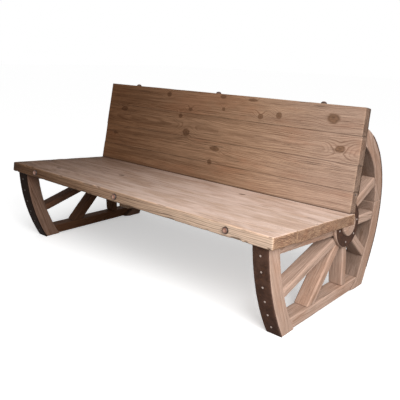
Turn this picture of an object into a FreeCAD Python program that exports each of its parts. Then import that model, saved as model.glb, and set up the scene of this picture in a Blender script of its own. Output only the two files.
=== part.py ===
import FreeCAD, Part
import math
import os

# Plank bench on two wagon-wheel ends: a seat of four planks that falls a little to the rear,
# a leaning back of four planks, and at each end part of a wheel with its hub at the seat's rear.
# X runs along the bench, Y from front to rear and Z up. Lengths are in millimetres, angles in degrees.
# While it is built, Y starts at the seat's front edge; the last step centres the bench on the origin.

# Seat
seat_length = 1760
seat_height = 450
seat_depth = 660
seat_thickness = 50
seat_tilt = 3.9
seat_plank_count = 4
plank_round = 3

# Back
back_end_inset = 8
back_height = 483
back_thickness = 52
back_lean = 9.9
back_rear_inset = 34
back_plank_shares = (0.209, 0.247, 0.275, 0.269)

# Rims of a wheel end: the front one is a shallow arc, the rear one two arcs with a straight foot below
wheel_inset = 28
rim_width = 73
rear_rim_width = 93
rim_depth = 80
tyre_thickness = 6
front_rim_setback = 9
front_rim_radius = 917
front_centre_rise = 22
rear_rim_reach = 392
rear_upper_radius = 372
rear_lower_radius = 624
rear_centre_rise = 77
rear_foot_angle = 28.4
rear_toe_reach = 42
rear_toe_height = 36
rear_tyre_drop = 365
rear_tyre_rise = 300
felloe_joint_drop = 39

# Hub, its wooden flange and the iron ring on it
hub_rear_inset = 39
hub_drop = 86
hub_radius = 54
hub_chamfer = 3
flange_radius = 107
flange_thickness = 16
ring_radius = 105
ring_thickness = 4
ring_screw_radius = 82
ring_screw_angles = (-169, -101, -44, 3)

# Rails
rail_width = 71
rail_inset = 2
base_rail_height = 50
base_rail_lift = 5
seat_rail_height = 40

# Spokes: angles are counted from straight back, and a spoke may pass beside the middle of the hub
spoke_width = 43
spoke_thickness = 71
spoke_inset = 2
spoke_chamfer = 4
spoke_tenon_radius = 11
spoke_tenon_length = 28
spoke_names = ("front_upper_spoke", "front_lower_spoke", "upright_spoke",
               "rear_lower_spoke", "rear_level_spoke", "rear_upper_spoke")
spoke_angles = (196.1, 226, 275.2, 320.3, 358, 21.7)
spoke_width_shares = (0.86, 1.1, 0.9, 1, 1.02, 1.1)
spoke_offset_shares = (0.88, 0.6, 0.26, -0.04, -0.29, 0.36)

# Uprights behind the ends of the back, and battens that tie the planks together
end_batten_thickness = 70
end_batten_inset = 2
middle_batten_width = 70
middle_batten_thickness = 26
back_batten_margin = 30
seat_batten_front = 60
seat_batten_rear = 50
seat_batten_thickness = 34

# Domed nails, rivets, screws and dowels
clavo_spacing = 660
back_clavo_spacing = 647
clavo_head_radius = 15
clavo_head_height = 12
clavo_shank_radius = 4
clavo_shank_length = 50
front_rivet_count = 6
rear_rivet_count = 9
rivet_end_distance = 40
rivet_head_radius = 5.5
rivet_head_height = 3
rivet_shank_radius = 3
rivet_shank_length = 34
screw_head_radius = 5
screw_head_height = 3
screw_shank_radius = 2.5
ring_screw_grip = 22
plank_screw_grip = 30
seat_screw_place_shares = (0.75, 0.5, 0.5, 0.2)
middle_screw_place_share = 0.5
back_screw_place_shares = (0.75, 0.5, 0.5, 0.5)
end_screw_place_share = 0.88
end_screw_length = 40
dowel_radius = 8
dowel_length = 60

# Clearances
fit_gap = 0.3
overrun = 40

# Places that follow from the sizes: the hub hangs from the seat, and the rims' centres go with them
back_length = seat_length - 2 * back_end_inset
back_setback = seat_depth - back_rear_inset
hub_setback = seat_depth - hub_rear_inset
hub_height = seat_height - hub_drop
front_centre_height = seat_height + front_centre_rise
rear_centre_height = hub_height + rear_centre_rise
rear_tyre_low = rear_centre_height - rear_tyre_drop
rear_tyre_high = rear_centre_height + rear_tyre_rise
felloe_joint_height = rear_centre_height - felloe_joint_drop
wheel_outer = seat_length / 2 - wheel_inset
wheel_inner = wheel_outer - rim_width
rear_inner = wheel_outer - rear_rim_width
rail_outer = wheel_outer - rail_inset
rail_inner = rail_outer - rail_width
spoke_outer = wheel_outer - spoke_inset
spoke_inner = spoke_outer - spoke_thickness
spoke_middle = (spoke_inner + spoke_outer) / 2
flange_outer = spoke_outer + flange_thickness
ring_outer = flange_outer + ring_thickness
front_centre = (front_rim_setback + front_rim_radius, front_centre_height)
rearmost = hub_setback + rear_rim_reach
rail_top = base_rail_lift + base_rail_height
reach_limit = seat_length + seat_depth + back_height
seat_plank_width = seat_depth / seat_plank_count
foot_turn = math.radians(rear_foot_angle)

ACROSS = FreeCAD.Vector(1, 0, 0)
seat_place = FreeCAD.Placement(FreeCAD.Vector(0, 0, seat_height), FreeCAD.Rotation(ACROSS, -seat_tilt))
back_foot_height = seat_height - back_setback * math.tan(math.radians(seat_tilt))
back_place = FreeCAD.Placement(FreeCAD.Vector(0, back_setback, back_foot_height),
                               FreeCAD.Rotation(ACROSS, -back_lean))


def vector(x, y, z):
    return FreeCAD.Vector(x, y, z)


def block(low, high, place=None):
    """A box between two corners, turned and moved by a placement."""
    shape = Part.makeBox(high[0] - low[0], high[1] - low[1], high[2] - low[2], vector(*low))
    if place is not None:
        shape.Placement = place
    return shape


def plank(low, high, place, rounding):
    """A board with its edges eased."""
    board = block(low, high)
    board = board.makeFillet(min(rounding, (high[2] - low[2]) / 4), board.Edges)
    board.Placement = place
    return board


def disc(centre, radius, x_start, x_end):
    """A cylinder along X about a point of the wheel's plane."""
    return Part.makeCylinder(radius, x_end - x_start, vector(x_start, centre[0], centre[1]), ACROSS)


def main_piece(shape):
    """The largest solid that a cut leaves."""
    return max(shape.Solids, key=lambda solid: solid.Volume)


def nail(head_radius, head_height, shank_radius, shank_length, place, direction):
    """A domed head on a round shank, with the head's seat at the place and the head along the direction."""
    ball = (head_radius ** 2 + head_height ** 2) / (2 * head_height)
    half_angle = math.asin(head_radius / ball) / 2
    top = vector(0, 0, head_height)
    side = vector(ball * math.sin(half_angle), 0, head_height - ball + ball * math.cos(half_angle))
    edge = vector(head_radius, 0, 0)
    neck = vector(shank_radius, 0, 0)
    tip = vector(shank_radius, 0, -shank_length)
    end = vector(0, 0, -shank_length)
    lines = [Part.Arc(top, side, edge).toShape(), Part.makeLine(edge, neck), Part.makeLine(neck, tip),
             Part.makeLine(tip, end), Part.makeLine(end, top)]
    shape = Part.Face(Part.Wire(lines)).revolve(vector(0, 0, 0), vector(0, 0, 1), 360)
    shape.Placement = FreeCAD.Placement(place, FreeCAD.Rotation(vector(0, 0, 1), direction))
    return shape


def bore(radius, length, place, direction):
    """A hole that starts a little above the place and goes against the direction."""
    start = place + direction * fit_gap
    return Part.makeCylinder(radius + fit_gap, length + 2 * fit_gap, start, direction * -1)


def front_arc(radius):
    """Three points of a front rim line, from above the seat down to the floor."""
    low = math.asin(front_centre_height / radius)
    high = -math.asin((seat_height - front_centre_height) / radius)
    points = []
    for angle in (high, (high + low) / 2, low):
        y = front_centre[0] - radius * math.cos(angle)
        points.append(vector(0, y, front_centre_height - radius * math.sin(angle)))
    return points


def rear_upper_point(inset, angle):
    """A point above the rim's rearmost place, inset from the rim's outside."""
    radius = rear_upper_radius - inset
    return vector(0, rearmost - rear_upper_radius + radius * math.cos(angle),
                  rear_centre_height + radius * math.sin(angle))


def rear_lower_point(inset, angle):
    """A point below the rim's rearmost place, inset from the rim's outside."""
    radius = rear_lower_radius - inset
    return vector(0, rearmost - rear_lower_radius + radius * math.cos(angle),
                  rear_centre_height - radius * math.sin(angle))


def rear_foot_point(inset, height):
    """A point of the rim's straight foot, inset from the rim's outside."""
    turn = rear_lower_point(inset, foot_turn)
    return vector(0, turn.y - (turn.z - height) * math.tan(foot_turn), height)


def rear_line(inset, toe):
    """Edges of a rear rim line from its top to the floor; a toe can reach forward level with the rail."""
    quarter = math.pi / 2
    turn = rear_lower_point(inset, foot_turn)
    knee = rear_foot_point(inset, rear_toe_height)
    tip = rear_foot_point(inset, base_rail_lift) - vector(0, toe, 0)
    foot = rear_foot_point(inset, 0)
    return [Part.Arc(rear_upper_point(inset, quarter), rear_upper_point(inset, quarter / 2),
                     rear_upper_point(inset, 0)).toShape(),
            Part.Arc(rear_lower_point(inset, 0), rear_lower_point(inset, foot_turn / 2), turn).toShape(),
            Part.makeLine(turn, knee), Part.makeLine(knee, tip), Part.makeLine(tip, foot)]


def extrude(lines, x_start, x_end):
    """A closed outline in the wheel's plane, made solid along X."""
    face = Part.Face(Part.Wire(lines))
    solid = face.extrude(ACROSS * (x_end - x_start))
    solid.translate(ACROSS * x_start)
    return solid


def front_band(outer_radius, inner_radius, x_start, x_end):
    outer = front_arc(outer_radius)
    inner = front_arc(inner_radius)
    return extrude([Part.Arc(*outer).toShape(), Part.makeLine(outer[2], inner[2]),
                    Part.Arc(*inner).toShape(), Part.makeLine(inner[0], outer[0])], x_start, x_end)


def rear_band(outer_inset, inner_inset, toe, x_start, x_end):
    quarter = math.pi / 2
    outer_foot = rear_foot_point(outer_inset, 0)
    inner_foot = rear_foot_point(inner_inset, 0)
    top = Part.makeLine(rear_upper_point(inner_inset, quarter), rear_upper_point(outer_inset, quarter))
    return extrude(rear_line(outer_inset, 0) + [Part.makeLine(outer_foot, inner_foot)]
                   + rear_line(inner_inset, toe)[::-1] + [top], x_start, x_end)


def inside_rims(gap, x_start, x_end):
    """The space between the inner faces of the front and rear rims."""
    inset = rim_depth + gap
    top = rear_upper_point(inset, math.pi / 2)
    foot = rear_foot_point(inset, 0)
    low_corner = vector(0, 0, foot.z)
    high_corner = vector(0, 0, top.z)
    rear_side = extrude(rear_line(inset, rear_toe_reach)
                        + [Part.makeLine(foot, low_corner), Part.makeLine(low_corner, high_corner),
                           Part.makeLine(high_corner, top)], x_start, x_end)
    return rear_side.common(disc(front_centre, front_rim_radius - rim_depth - gap, x_start, x_end))


def seat_and_back_space():
    """What the seat, the back and the sitter take up: no piece of a wheel end reaches into it."""
    half = seat_length
    over_seat = block((-half, -overrun, -seat_thickness), (half, seat_depth, reach_limit), seat_place)
    above_seat = block((-half, -overrun, 0), (half, reach_limit, reach_limit), seat_place)
    before_back_rear = block((-half, -reach_limit, -reach_limit), (half, back_thickness, reach_limit),
                             back_place)
    return over_seat.fuse(above_seat.common(before_back_rear))


def on_seat(x, y, z):
    return seat_place.multVec(vector(x, y, z))


def on_back(x, y, z):
    return back_place.multVec(vector(x, y, z))


seat_up = seat_place.Rotation.multVec(vector(0, 0, 1))
seat_forward = seat_place.Rotation.multVec(vector(0, -1, 0))
back_up = back_place.Rotation.multVec(vector(0, 0, 1))
back_rearward = back_place.Rotation.multVec(vector(0, 1, 0))


def seat_planks():
    planks = {}
    half = seat_length / 2
    for number in range(seat_plank_count):
        low = (-half, number * seat_plank_width, -seat_thickness)
        high = (half, (number + 1) * seat_plank_width, 0)
        planks["seat_plank_%d" % (number + 1)] = plank(low, high, seat_place, plank_round)
    return planks


def back_planks():
    """The back's boards from the seat upwards; the lowest is cut to stand flat on the seat."""
    planks = {}
    half = back_length / 2
    below_seat = block((-seat_length, -seat_depth, -reach_limit), (seat_length, reach_limit, 0), seat_place)
    height = 0
    for number, share in enumerate(back_plank_shares):
        tall = back_height * share
        foot = -back_thickness if number == 0 else height
        board = plank((-half, 0, foot), (half, back_thickness, height + tall), back_place, plank_round)
        planks["back_plank_%d" % (number + 1)] = main_piece(board.cut(below_seat))
        height += tall
    return planks


def spoke_axis(angle, offset_share):
    """Where a spoke's middle line passes the hub, and its direction."""
    turn = math.radians(angle)
    direction = vector(0, math.cos(turn), math.sin(turn))
    sideways = vector(0, -math.sin(turn), math.cos(turn))
    start = vector(spoke_middle, hub_setback, hub_height) + sideways * (offset_share * hub_radius)
    return start, direction, sideways


def spoke_reach(start, direction, room):
    """How far a spoke's middle line runs before it meets a rim or the base rail."""
    return Part.makeLine(start, start + direction * reach_limit).common(room).Length


def spoke_bar(start, direction, sideways, width_share, length):
    """A bar with its long edges chamfered."""
    half_thick = spoke_thickness / 2
    half_wide = spoke_width * width_share / 2
    outline = ((half_thick, half_wide - spoke_chamfer), (half_thick - spoke_chamfer, half_wide),
               (spoke_chamfer - half_thick, half_wide), (-half_thick, half_wide - spoke_chamfer),
               (-half_thick, spoke_chamfer - half_wide), (spoke_chamfer - half_thick, -half_wide),
               (half_thick - spoke_chamfer, -half_wide), (half_thick, spoke_chamfer - half_wide))
    points = [start + ACROSS * x + sideways * side for x, side in outline]
    return Part.Face(Part.makePolygon(points + points[:1])).extrude(direction * length)


def wheel_end():
    """The pieces of the right wheel end, and the rivets and screws in it."""
    space = seat_and_back_space()
    rim_front = front_rim_radius - tyre_thickness
    opening = inside_rims(fit_gap, wheel_inner - overrun, wheel_outer + overrun)
    pieces = {}

    # Rims and tyres; the rear tyre is let into the wood and stops short of both ends of the rim
    pieces["front_felloe"] = main_piece(front_band(
        rim_front, front_rim_radius - rim_depth, wheel_inner, wheel_outer).cut(space))
    pieces["front_tyre"] = main_piece(front_band(
        front_rim_radius, rim_front, wheel_inner, wheel_outer).cut(space))
    tyre_space = block((0, hub_setback, rear_tyre_low), (seat_length, reach_limit, rear_tyre_high))
    rear_tyre = rear_band(0, tyre_thickness, 0, rear_inner, wheel_outer).common(tyre_space)
    pieces["rear_tyre"] = main_piece(rear_tyre)
    rear_rim = rear_band(0, rim_depth, rear_toe_reach, rear_inner, wheel_outer).cut(space).cut(rear_tyre)
    lower_space = block((0, 0, -overrun), (seat_length, reach_limit, felloe_joint_height))
    pieces["rear_felloe_lower"] = main_piece(rear_rim.common(lower_space))
    pieces["rear_felloe_upper"] = main_piece(rear_rim.cut(lower_space))

    # Hub, flange and ring
    hub_centre = (hub_setback, hub_height)
    hub = disc(hub_centre, hub_radius, spoke_inner, seat_length / 2)
    ends = [edge for edge in hub.Edges if len(edge.Vertexes) == 1]
    hub = hub.makeChamfer(hub_chamfer, ends)
    hub_space = disc(hub_centre, hub_radius + fit_gap, wheel_inner - overrun, wheel_outer + overrun)
    pieces["hub"] = main_piece(hub.cut(space))
    flange = disc(hub_centre, flange_radius, spoke_outer, flange_outer)
    ring = disc(hub_centre, ring_radius, flange_outer, ring_outer)
    pieces["hub_flange"] = main_piece(flange.cut(hub_space).cut(space))
    pieces["hub_ring"] = main_piece(ring.cut(hub_space).cut(space))

    # Rails: the base rail joins the feet, the seat rail runs under the planks to the hub
    base_rail = block((rail_inner, 0, base_rail_lift), (rail_outer, reach_limit, rail_top))
    pieces["base_rail"] = main_piece(base_rail.common(opening))
    seat_rail = block((rail_inner, 0, -seat_thickness - seat_rail_height),
                      (rail_outer, hub_setback, -seat_thickness), seat_place)
    pieces["seat_rail"] = main_piece(seat_rail.common(opening).cut(hub_space))

    # Spokes, each cut to fit those before it where they crowd at the hub
    above_rail = block((wheel_inner - overrun, 0, rail_top), (wheel_outer + overrun, reach_limit, reach_limit))
    spoke_space = opening.common(above_rail)
    placed = []
    for name, angle, width, offset in zip(spoke_names, spoke_angles, spoke_width_shares, spoke_offset_shares):
        start, direction, sideways = spoke_axis(angle, offset)
        reach = spoke_reach(start, direction, spoke_space)
        bar = spoke_bar(start, direction, sideways, width, reach + overrun).common(spoke_space)
        bar = bar.cut(hub_space).cut(space).cut(pieces["seat_rail"])
        for other in placed:
            bar = bar.cut(other)
        bar = main_piece(bar)
        shoulder = start + direction * (reach - spoke_width)
        tenon_run = spoke_width + spoke_tenon_length
        tenon = Part.makeCylinder(spoke_tenon_radius, tenon_run, shoulder, direction)
        mortise = Part.makeCylinder(spoke_tenon_radius + fit_gap, tenon_run + fit_gap, shoulder, direction)
        pieces[name] = main_piece(bar.fuse(tenon).removeSplitter())
        placed.append(bar)
        for carrier in ("front_felloe", "rear_felloe_lower", "rear_felloe_upper", "base_rail"):
            pieces[carrier] = main_piece(pieces[carrier].cut(mortise))

    # Upright behind the end of the back, standing on the upper rear spoke and ending under the rim
    batten = block((spoke_inner, back_thickness, 0),
                   (spoke_outer - end_batten_inset, back_thickness + end_batten_thickness, back_height),
                   back_place)
    above_spoke = spoke_bar(*spoke_axis(spoke_angles[-1], spoke_offset_shares[-1]), spoke_width_shares[-1],
                            reach_limit)
    batten = batten.common(opening).cut(above_spoke).cut(hub_space)
    pieces["end_batten"] = max(batten.Solids, key=lambda solid: solid.BoundBox.ZMax)

    fasten_wheel_end(pieces)
    return pieces


def rivet(place, outward):
    return nail(rivet_head_radius, rivet_head_height, rivet_shank_radius, rivet_shank_length, place, outward)


def rivet_bore(place, outward):
    return bore(rivet_shank_radius, rivet_shank_length, place, outward)


def drill(pieces, names, hole):
    for name in names:
        pieces[name] = main_piece(pieces[name].cut(hole))


def fasten_wheel_end(pieces):
    """Rivets through the tyres, screws through the ring and dowels between the curved pieces."""
    middle = (wheel_inner + wheel_outer) / 2

    # Rivets of the front tyre, evenly spaced along its arc between the seat and the floor
    rivets = []
    top_height = seat_height - seat_thickness - rivet_end_distance
    first = math.asin((front_centre_height - top_height) / front_rim_radius)
    last = math.asin((front_centre_height - rivet_end_distance) / front_rim_radius)
    for number in range(front_rivet_count):
        angle = first + (last - first) * number / (front_rivet_count - 1)
        outward = vector(0, -math.cos(angle), -math.sin(angle))
        place = vector(middle, *front_centre) + outward * front_rim_radius
        rivets.append(rivet(place, outward))
        drill(pieces, ("front_tyre", "front_felloe"), rivet_bore(place, outward))
    pieces["front_tyre_rivets"] = Part.makeCompound(rivets)

    # Rivets of the rear tyre, evenly spaced along its two arcs
    rivets = []
    top_angle = math.asin((rear_tyre_high - rear_centre_height) / rear_upper_radius)
    first = rear_upper_radius * top_angle - rivet_end_distance
    last = -rear_lower_radius * foot_turn
    for number in range(rear_rivet_count):
        along = first + (last - first) * number / (rear_rivet_count - 1)
        if along > 0:
            angle = along / rear_upper_radius
            place = rear_upper_point(0, angle)
        else:
            angle = along / rear_lower_radius
            place = rear_lower_point(0, -angle)
        outward = vector(0, math.cos(angle), math.sin(angle))
        place.x = (rear_inner + wheel_outer) / 2
        rivets.append(rivet(place, outward))
        drill(pieces, ("rear_tyre", "rear_felloe_lower", "rear_felloe_upper"), rivet_bore(place, outward))
    pieces["rear_tyre_rivets"] = Part.makeCompound(rivets)

    # Screws of the hub ring
    screws = []
    for screw_angle in ring_screw_angles:
        angle = math.radians(screw_angle)
        place = vector(ring_outer, hub_setback + ring_screw_radius * math.cos(angle),
                       hub_height + ring_screw_radius * math.sin(angle))
        length = ring_thickness + flange_thickness + ring_screw_grip
        screws.append(nail(screw_head_radius, screw_head_height, screw_shank_radius, length, place, ACROSS))
        drill(pieces, ("hub_ring", "hub_flange", "seat_rail") + spoke_names,
              bore(screw_shank_radius, length, place, ACROSS))
    pieces["hub_screws"] = Part.makeCompound(screws)

    # Dowels: at the joint of the rear felloes and at both ends of the base rail
    half_dowel = dowel_length / 2
    rail_middle = base_rail_lift + base_rail_height / 2
    inner_radius = front_rim_radius - rim_depth
    front_y = front_centre[0] - math.sqrt(inner_radius ** 2 - (front_centre_height - rail_middle) ** 2)
    rear_y = rear_foot_point(rim_depth, rail_middle).y
    joint_angle = math.asin((rear_centre_height - felloe_joint_height) / rear_lower_radius)
    joint_y = rear_lower_point((rim_depth + tyre_thickness) / 2, joint_angle).y
    along = vector(0, 1, 0)
    upward = vector(0, 0, 1)
    dowel_places = ((vector(middle, front_y - half_dowel, rail_middle), along,
                     ("front_felloe", "base_rail", "front_lower_spoke")),
                    (vector(middle, rear_y - half_dowel, rail_middle), along,
                     ("rear_felloe_lower", "base_rail", "rear_lower_spoke")),
                    (vector(middle, joint_y, felloe_joint_height - half_dowel), upward,
                     ("rear_felloe_lower", "rear_felloe_upper")))
    dowels = []
    for start, direction, names in dowel_places:
        dowels.append(Part.makeCylinder(dowel_radius, dowel_length, start, direction))
        hole = Part.makeCylinder(dowel_radius + fit_gap, dowel_length + 2 * fit_gap,
                                 start - direction * fit_gap, direction)
        drill(pieces, names, hole)
    pieces["rim_dowels"] = Part.makeCompound(dowels)


def battens():
    """The middle battens under the seat and behind the back."""
    half = middle_batten_width / 2
    seat_batten = plank((-half, seat_batten_front, -seat_thickness - seat_batten_thickness),
                        (half, seat_depth - seat_batten_rear, -seat_thickness), seat_place, plank_round)
    back_batten = plank((-half, back_thickness, back_batten_margin),
                        (half, back_thickness + middle_batten_thickness, back_height - back_batten_margin),
                        back_place, plank_round)
    return {"seat_middle_batten": seat_batten, "back_middle_batten": back_batten}


def clavos(pieces):
    """Domed nails: three in the seat's front edge and three in the back's top edge."""
    seat_nails = []
    back_nails = []
    top_plank = "back_plank_%d" % len(back_plank_shares)
    for step in (-1, 0, 1):
        place = on_seat(step * clavo_spacing, 0, -seat_thickness / 2)
        seat_nails.append(nail(clavo_head_radius, clavo_head_height, clavo_shank_radius,
                               clavo_shank_length, place, seat_forward))
        drill(pieces, ("seat_plank_1",), bore(clavo_shank_radius, clavo_shank_length, place, seat_forward))
        place = on_back(step * back_clavo_spacing, back_thickness / 2, back_height)
        back_nails.append(nail(clavo_head_radius, clavo_head_height, clavo_shank_radius,
                               clavo_shank_length, place, back_up))
        drill(pieces, (top_plank,), bore(clavo_shank_radius, clavo_shank_length, place, back_up))
    pieces["seat_clavos"] = Part.makeCompound(seat_nails)
    pieces["back_clavos"] = Part.makeCompound(back_nails)


def plank_screws(pieces):
    """Screws from below through the seat rails and batten, and from behind through the back battens."""
    rail_middle = (rail_inner + rail_outer) / 2
    downward = seat_up * -1
    seat_screws = []
    for number in range(seat_plank_count):
        name = "seat_plank_%d" % (number + 1)
        for x, share, depth, carrier in (
                (-rail_middle, seat_screw_place_shares[number], seat_rail_height, "left_seat_rail"),
                (0, middle_screw_place_share, seat_batten_thickness, "seat_middle_batten"),
                (rail_middle, seat_screw_place_shares[number], seat_rail_height, "right_seat_rail")):
            place = on_seat(x, (number + share) * seat_plank_width, -seat_thickness - depth)
            length = depth + plank_screw_grip
            seat_screws.append(nail(screw_head_radius, screw_head_height, screw_shank_radius, length,
                                    place, downward))
            drill(pieces, (name, carrier), bore(screw_shank_radius, length, place, downward))
    pieces["seat_screws"] = Part.makeCompound(seat_screws)

    back_screws = []
    height = 0
    for number, share in enumerate(back_plank_shares):
        name = "back_plank_%d" % (number + 1)
        for x, depth, carrier in ((-spoke_middle, end_batten_thickness, "left_end_batten"),
                                  (0, middle_batten_thickness, "back_middle_batten"),
                                  (spoke_middle, end_batten_thickness, "right_end_batten")):
            screw_height = height + back_height * share * back_screw_place_shares[number]
            place = on_back(x, back_thickness + depth, screw_height)
            under_head = Part.makeCylinder(screw_head_radius + fit_gap, depth, place, back_rearward * -1)
            if under_head.cut(pieces[carrier]).Volume > fit_gap ** 3:
                continue
            length = depth + plank_screw_grip
            back_screws.append(nail(screw_head_radius, screw_head_height, screw_shank_radius, length,
                                    place, back_rearward))
            drill(pieces, (name, carrier), bore(screw_shank_radius, length, place, back_rearward))
        height += back_height * share
    pieces["back_screws"] = Part.makeCompound(back_screws)

    # One screw in each end of the lowest board of the back
    end_screws = []
    height = back_height * back_plank_shares[0] * end_screw_place_share
    for side in (-1, 1):
        place = on_back(side * back_length / 2, back_thickness / 2, height)
        outward = ACROSS * side
        end_screws.append(nail(screw_head_radius, screw_head_height, screw_shank_radius, end_screw_length,
                               place, outward))
        drill(pieces, ("back_plank_1",), bore(screw_shank_radius, end_screw_length, place, outward))
    pieces["back_end_screws"] = Part.makeCompound(end_screws)


def build():
    pieces = seat_planks()
    pieces.update(back_planks())
    pieces.update(battens())
    for name, shape in wheel_end().items():
        pieces["right_" + name] = shape
        pieces["left_" + name] = shape.mirror(vector(0, 0, 0), ACROSS)
    clavos(pieces)
    plank_screws(pieces)
    whole = Part.makeCompound(list(pieces.values())).optimalBoundingBox(False, False)
    to_centre = vector(0, -(whole.YMin + whole.YMax) / 2, 0)
    os.makedirs("parts", exist_ok=True)
    for name, shape in pieces.items():
        shape.translate(to_centre)
        shape.exportStep("parts/%s.step" % name)
        box = shape.BoundBox
        print("%-28s solids %2d valid %s volume %.1f cm3 x %.0f..%.0f y %.0f..%.0f z %.0f..%.0f" % (
            name, len(shape.Solids), shape.isValid(), shape.Volume / 1000,
            box.XMin, box.XMax, box.YMin, box.YMax, box.ZMin, box.ZMax))
    print("nodes", len(pieces), "moved back by", to_centre.y)


build()
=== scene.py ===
import math
import random

import bmesh
import bpy
import numpy as np
from bpy.props import FloatProperty, FloatVectorProperty, IntProperty, PointerProperty
from mathutils import Matrix, Vector, noise


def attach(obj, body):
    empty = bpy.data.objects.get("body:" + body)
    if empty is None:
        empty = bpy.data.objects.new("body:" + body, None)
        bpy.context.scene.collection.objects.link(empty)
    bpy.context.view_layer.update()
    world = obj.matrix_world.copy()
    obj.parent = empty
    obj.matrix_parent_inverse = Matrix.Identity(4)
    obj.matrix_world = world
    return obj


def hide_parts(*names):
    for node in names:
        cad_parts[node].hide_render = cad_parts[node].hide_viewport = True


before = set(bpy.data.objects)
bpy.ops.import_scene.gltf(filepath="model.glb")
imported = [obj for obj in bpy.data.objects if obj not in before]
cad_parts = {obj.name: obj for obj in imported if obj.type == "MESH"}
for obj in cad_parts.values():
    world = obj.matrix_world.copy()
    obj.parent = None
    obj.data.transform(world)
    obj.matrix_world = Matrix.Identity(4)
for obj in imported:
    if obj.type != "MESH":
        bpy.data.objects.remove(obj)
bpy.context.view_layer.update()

bl_info = {
    "name": "Wagon wheel plank bench",
    "version": (1, 0, 0),
    "blender": (4, 5, 0),
    "location": "3D View > Sidebar > Bench",
    "description": "Worn boards, wheel timbers, iron and fasteners of a plank bench on two wagon-wheel ends",
    "category": "Object",
}

# Places of the seat, the back and the hubs in the bench's frame, in metres: Y runs from front to rear
SEAT_FRONT = -0.501146
SEAT_TOP = 0.450
BACK_FOOT = (0.0, 0.124854, 0.40732)
BACK_SHARES = (0.209, 0.247, 0.275, 0.269)        # of the back's height, from the lowest board up
HUB_Y, HUB_Z = 0.119854, 0.364
# The front rim's outside: its radius, the height of its middle, and how far it stays behind the seat's edge
FRONT_RADIUS, FRONT_Z, FRONT_BEHIND = 0.917, 0.472, 0.009
# The rear rim's outside: radii above and below its middle, that middle's height, its reach from the
# seat's edge, how high its end stands above the middle, and the turn where it goes on straight to its foot
REAR_UPPER, REAR_LOWER, REAR_Z, REAR_REACH = 0.372, 0.624, 0.441, 1.013
REAR_RISE, REAR_KNEE, REAR_FOOT = 0.300, math.radians(28.4), 0.076
# Places of the seat's and the back's screws along the bench, and the ring of the hub's screws
SCREWS_X = 0.8145
HUB_SCREWS_X, HUB_SCREWS_RADIUS = 0.870, 0.082
# Painted shade: the left end's iron is darkened, as it stands away from the light
LEFT_IRON_SHADE = 0.9         # how much darker the left end's iron is
# The camera's place, and how far it turns to the left, looks up and is tipped, in degrees
CAMERA_PLACE = (1.90546, -2.10348, 1.09725)
CAMERA_TURNS = (41.013, -8.559, 1.959)
SIDES = (("right", 1), ("left", -1))
SPOKES = ("front_upper_spoke", "front_lower_spoke", "upright_spoke",
          "rear_lower_spoke", "rear_level_spoke", "rear_upper_spoke")


class BoardSizes(bpy.types.PropertyGroup):
    """Sizes of the seat's and the back's boards."""
    seat_length: FloatProperty(name="Seat length", description="Length of the seat's boards",
                               default=1.76, unit="LENGTH")
    seat_depth: FloatProperty(name="Seat depth", description="Depth of the seat over all its boards",
                              default=0.66, unit="LENGTH")
    seat_thickness: FloatProperty(name="Seat thickness", description="Thickness of the seat's boards",
                                  default=0.05, unit="LENGTH")
    seat_tilt: FloatProperty(name="Seat tilt", description="Fall of the seat towards the back",
                             default=math.radians(3.9), subtype="ANGLE")
    seat_boards: IntProperty(name="Seat boards", description="Number of boards in the seat", default=4, min=1)
    back_length: FloatProperty(name="Back length", description="Length of the back's boards",
                               default=1.744, unit="LENGTH")
    back_height: FloatProperty(name="Back height", description="Height of the back along its slope",
                               default=0.483, unit="LENGTH")
    back_thickness: FloatProperty(name="Back thickness", description="Thickness of the back's boards",
                                  default=0.052, unit="LENGTH")
    back_lean: FloatProperty(name="Back lean", description="Lean of the back to the rear",
                             default=math.radians(9.9), subtype="ANGLE")
    station: FloatProperty(name="Station", description="Distance between the rings of points along a board",
                           default=0.008, unit="LENGTH")


class WoodLook(bpy.types.PropertyGroup):
    """Colours and wear of the wood."""
    seat_pale: FloatVectorProperty(name="Seat pale", description="Bleached wood of the seat", subtype="COLOR",
                                   default=(0.60, 0.385, 0.25), size=3)
    seat_dark: FloatVectorProperty(name="Seat dark", description="Dark grain of the seat", subtype="COLOR",
                                   default=(0.17, 0.095, 0.058), size=3)
    back_pale: FloatVectorProperty(name="Back pale", description="Pale wood of the back", subtype="COLOR",
                                   default=(0.51, 0.325, 0.21), size=3)
    back_dark: FloatVectorProperty(name="Back dark", description="Dark grain of the back", subtype="COLOR",
                                   default=(0.19, 0.10, 0.055), size=3)
    wheel_pale: FloatVectorProperty(name="Wheel pale", description="Pale wood of the wheel ends",
                                    subtype="COLOR", default=(0.545, 0.38, 0.30), size=3)
    wheel_dark: FloatVectorProperty(name="Wheel dark", description="Dark grain of the wheel ends",
                                    subtype="COLOR", default=(0.24, 0.14, 0.09), size=3)
    timber_voxel: FloatProperty(name="Timber mesh", description="Mesh size of the worn wheel timbers",
                                default=0.003, unit="LENGTH")
    timber_wear: IntProperty(name="Timber wear", description="Passes that round the wheel timbers' edges",
                             default=7, min=0)


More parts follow.
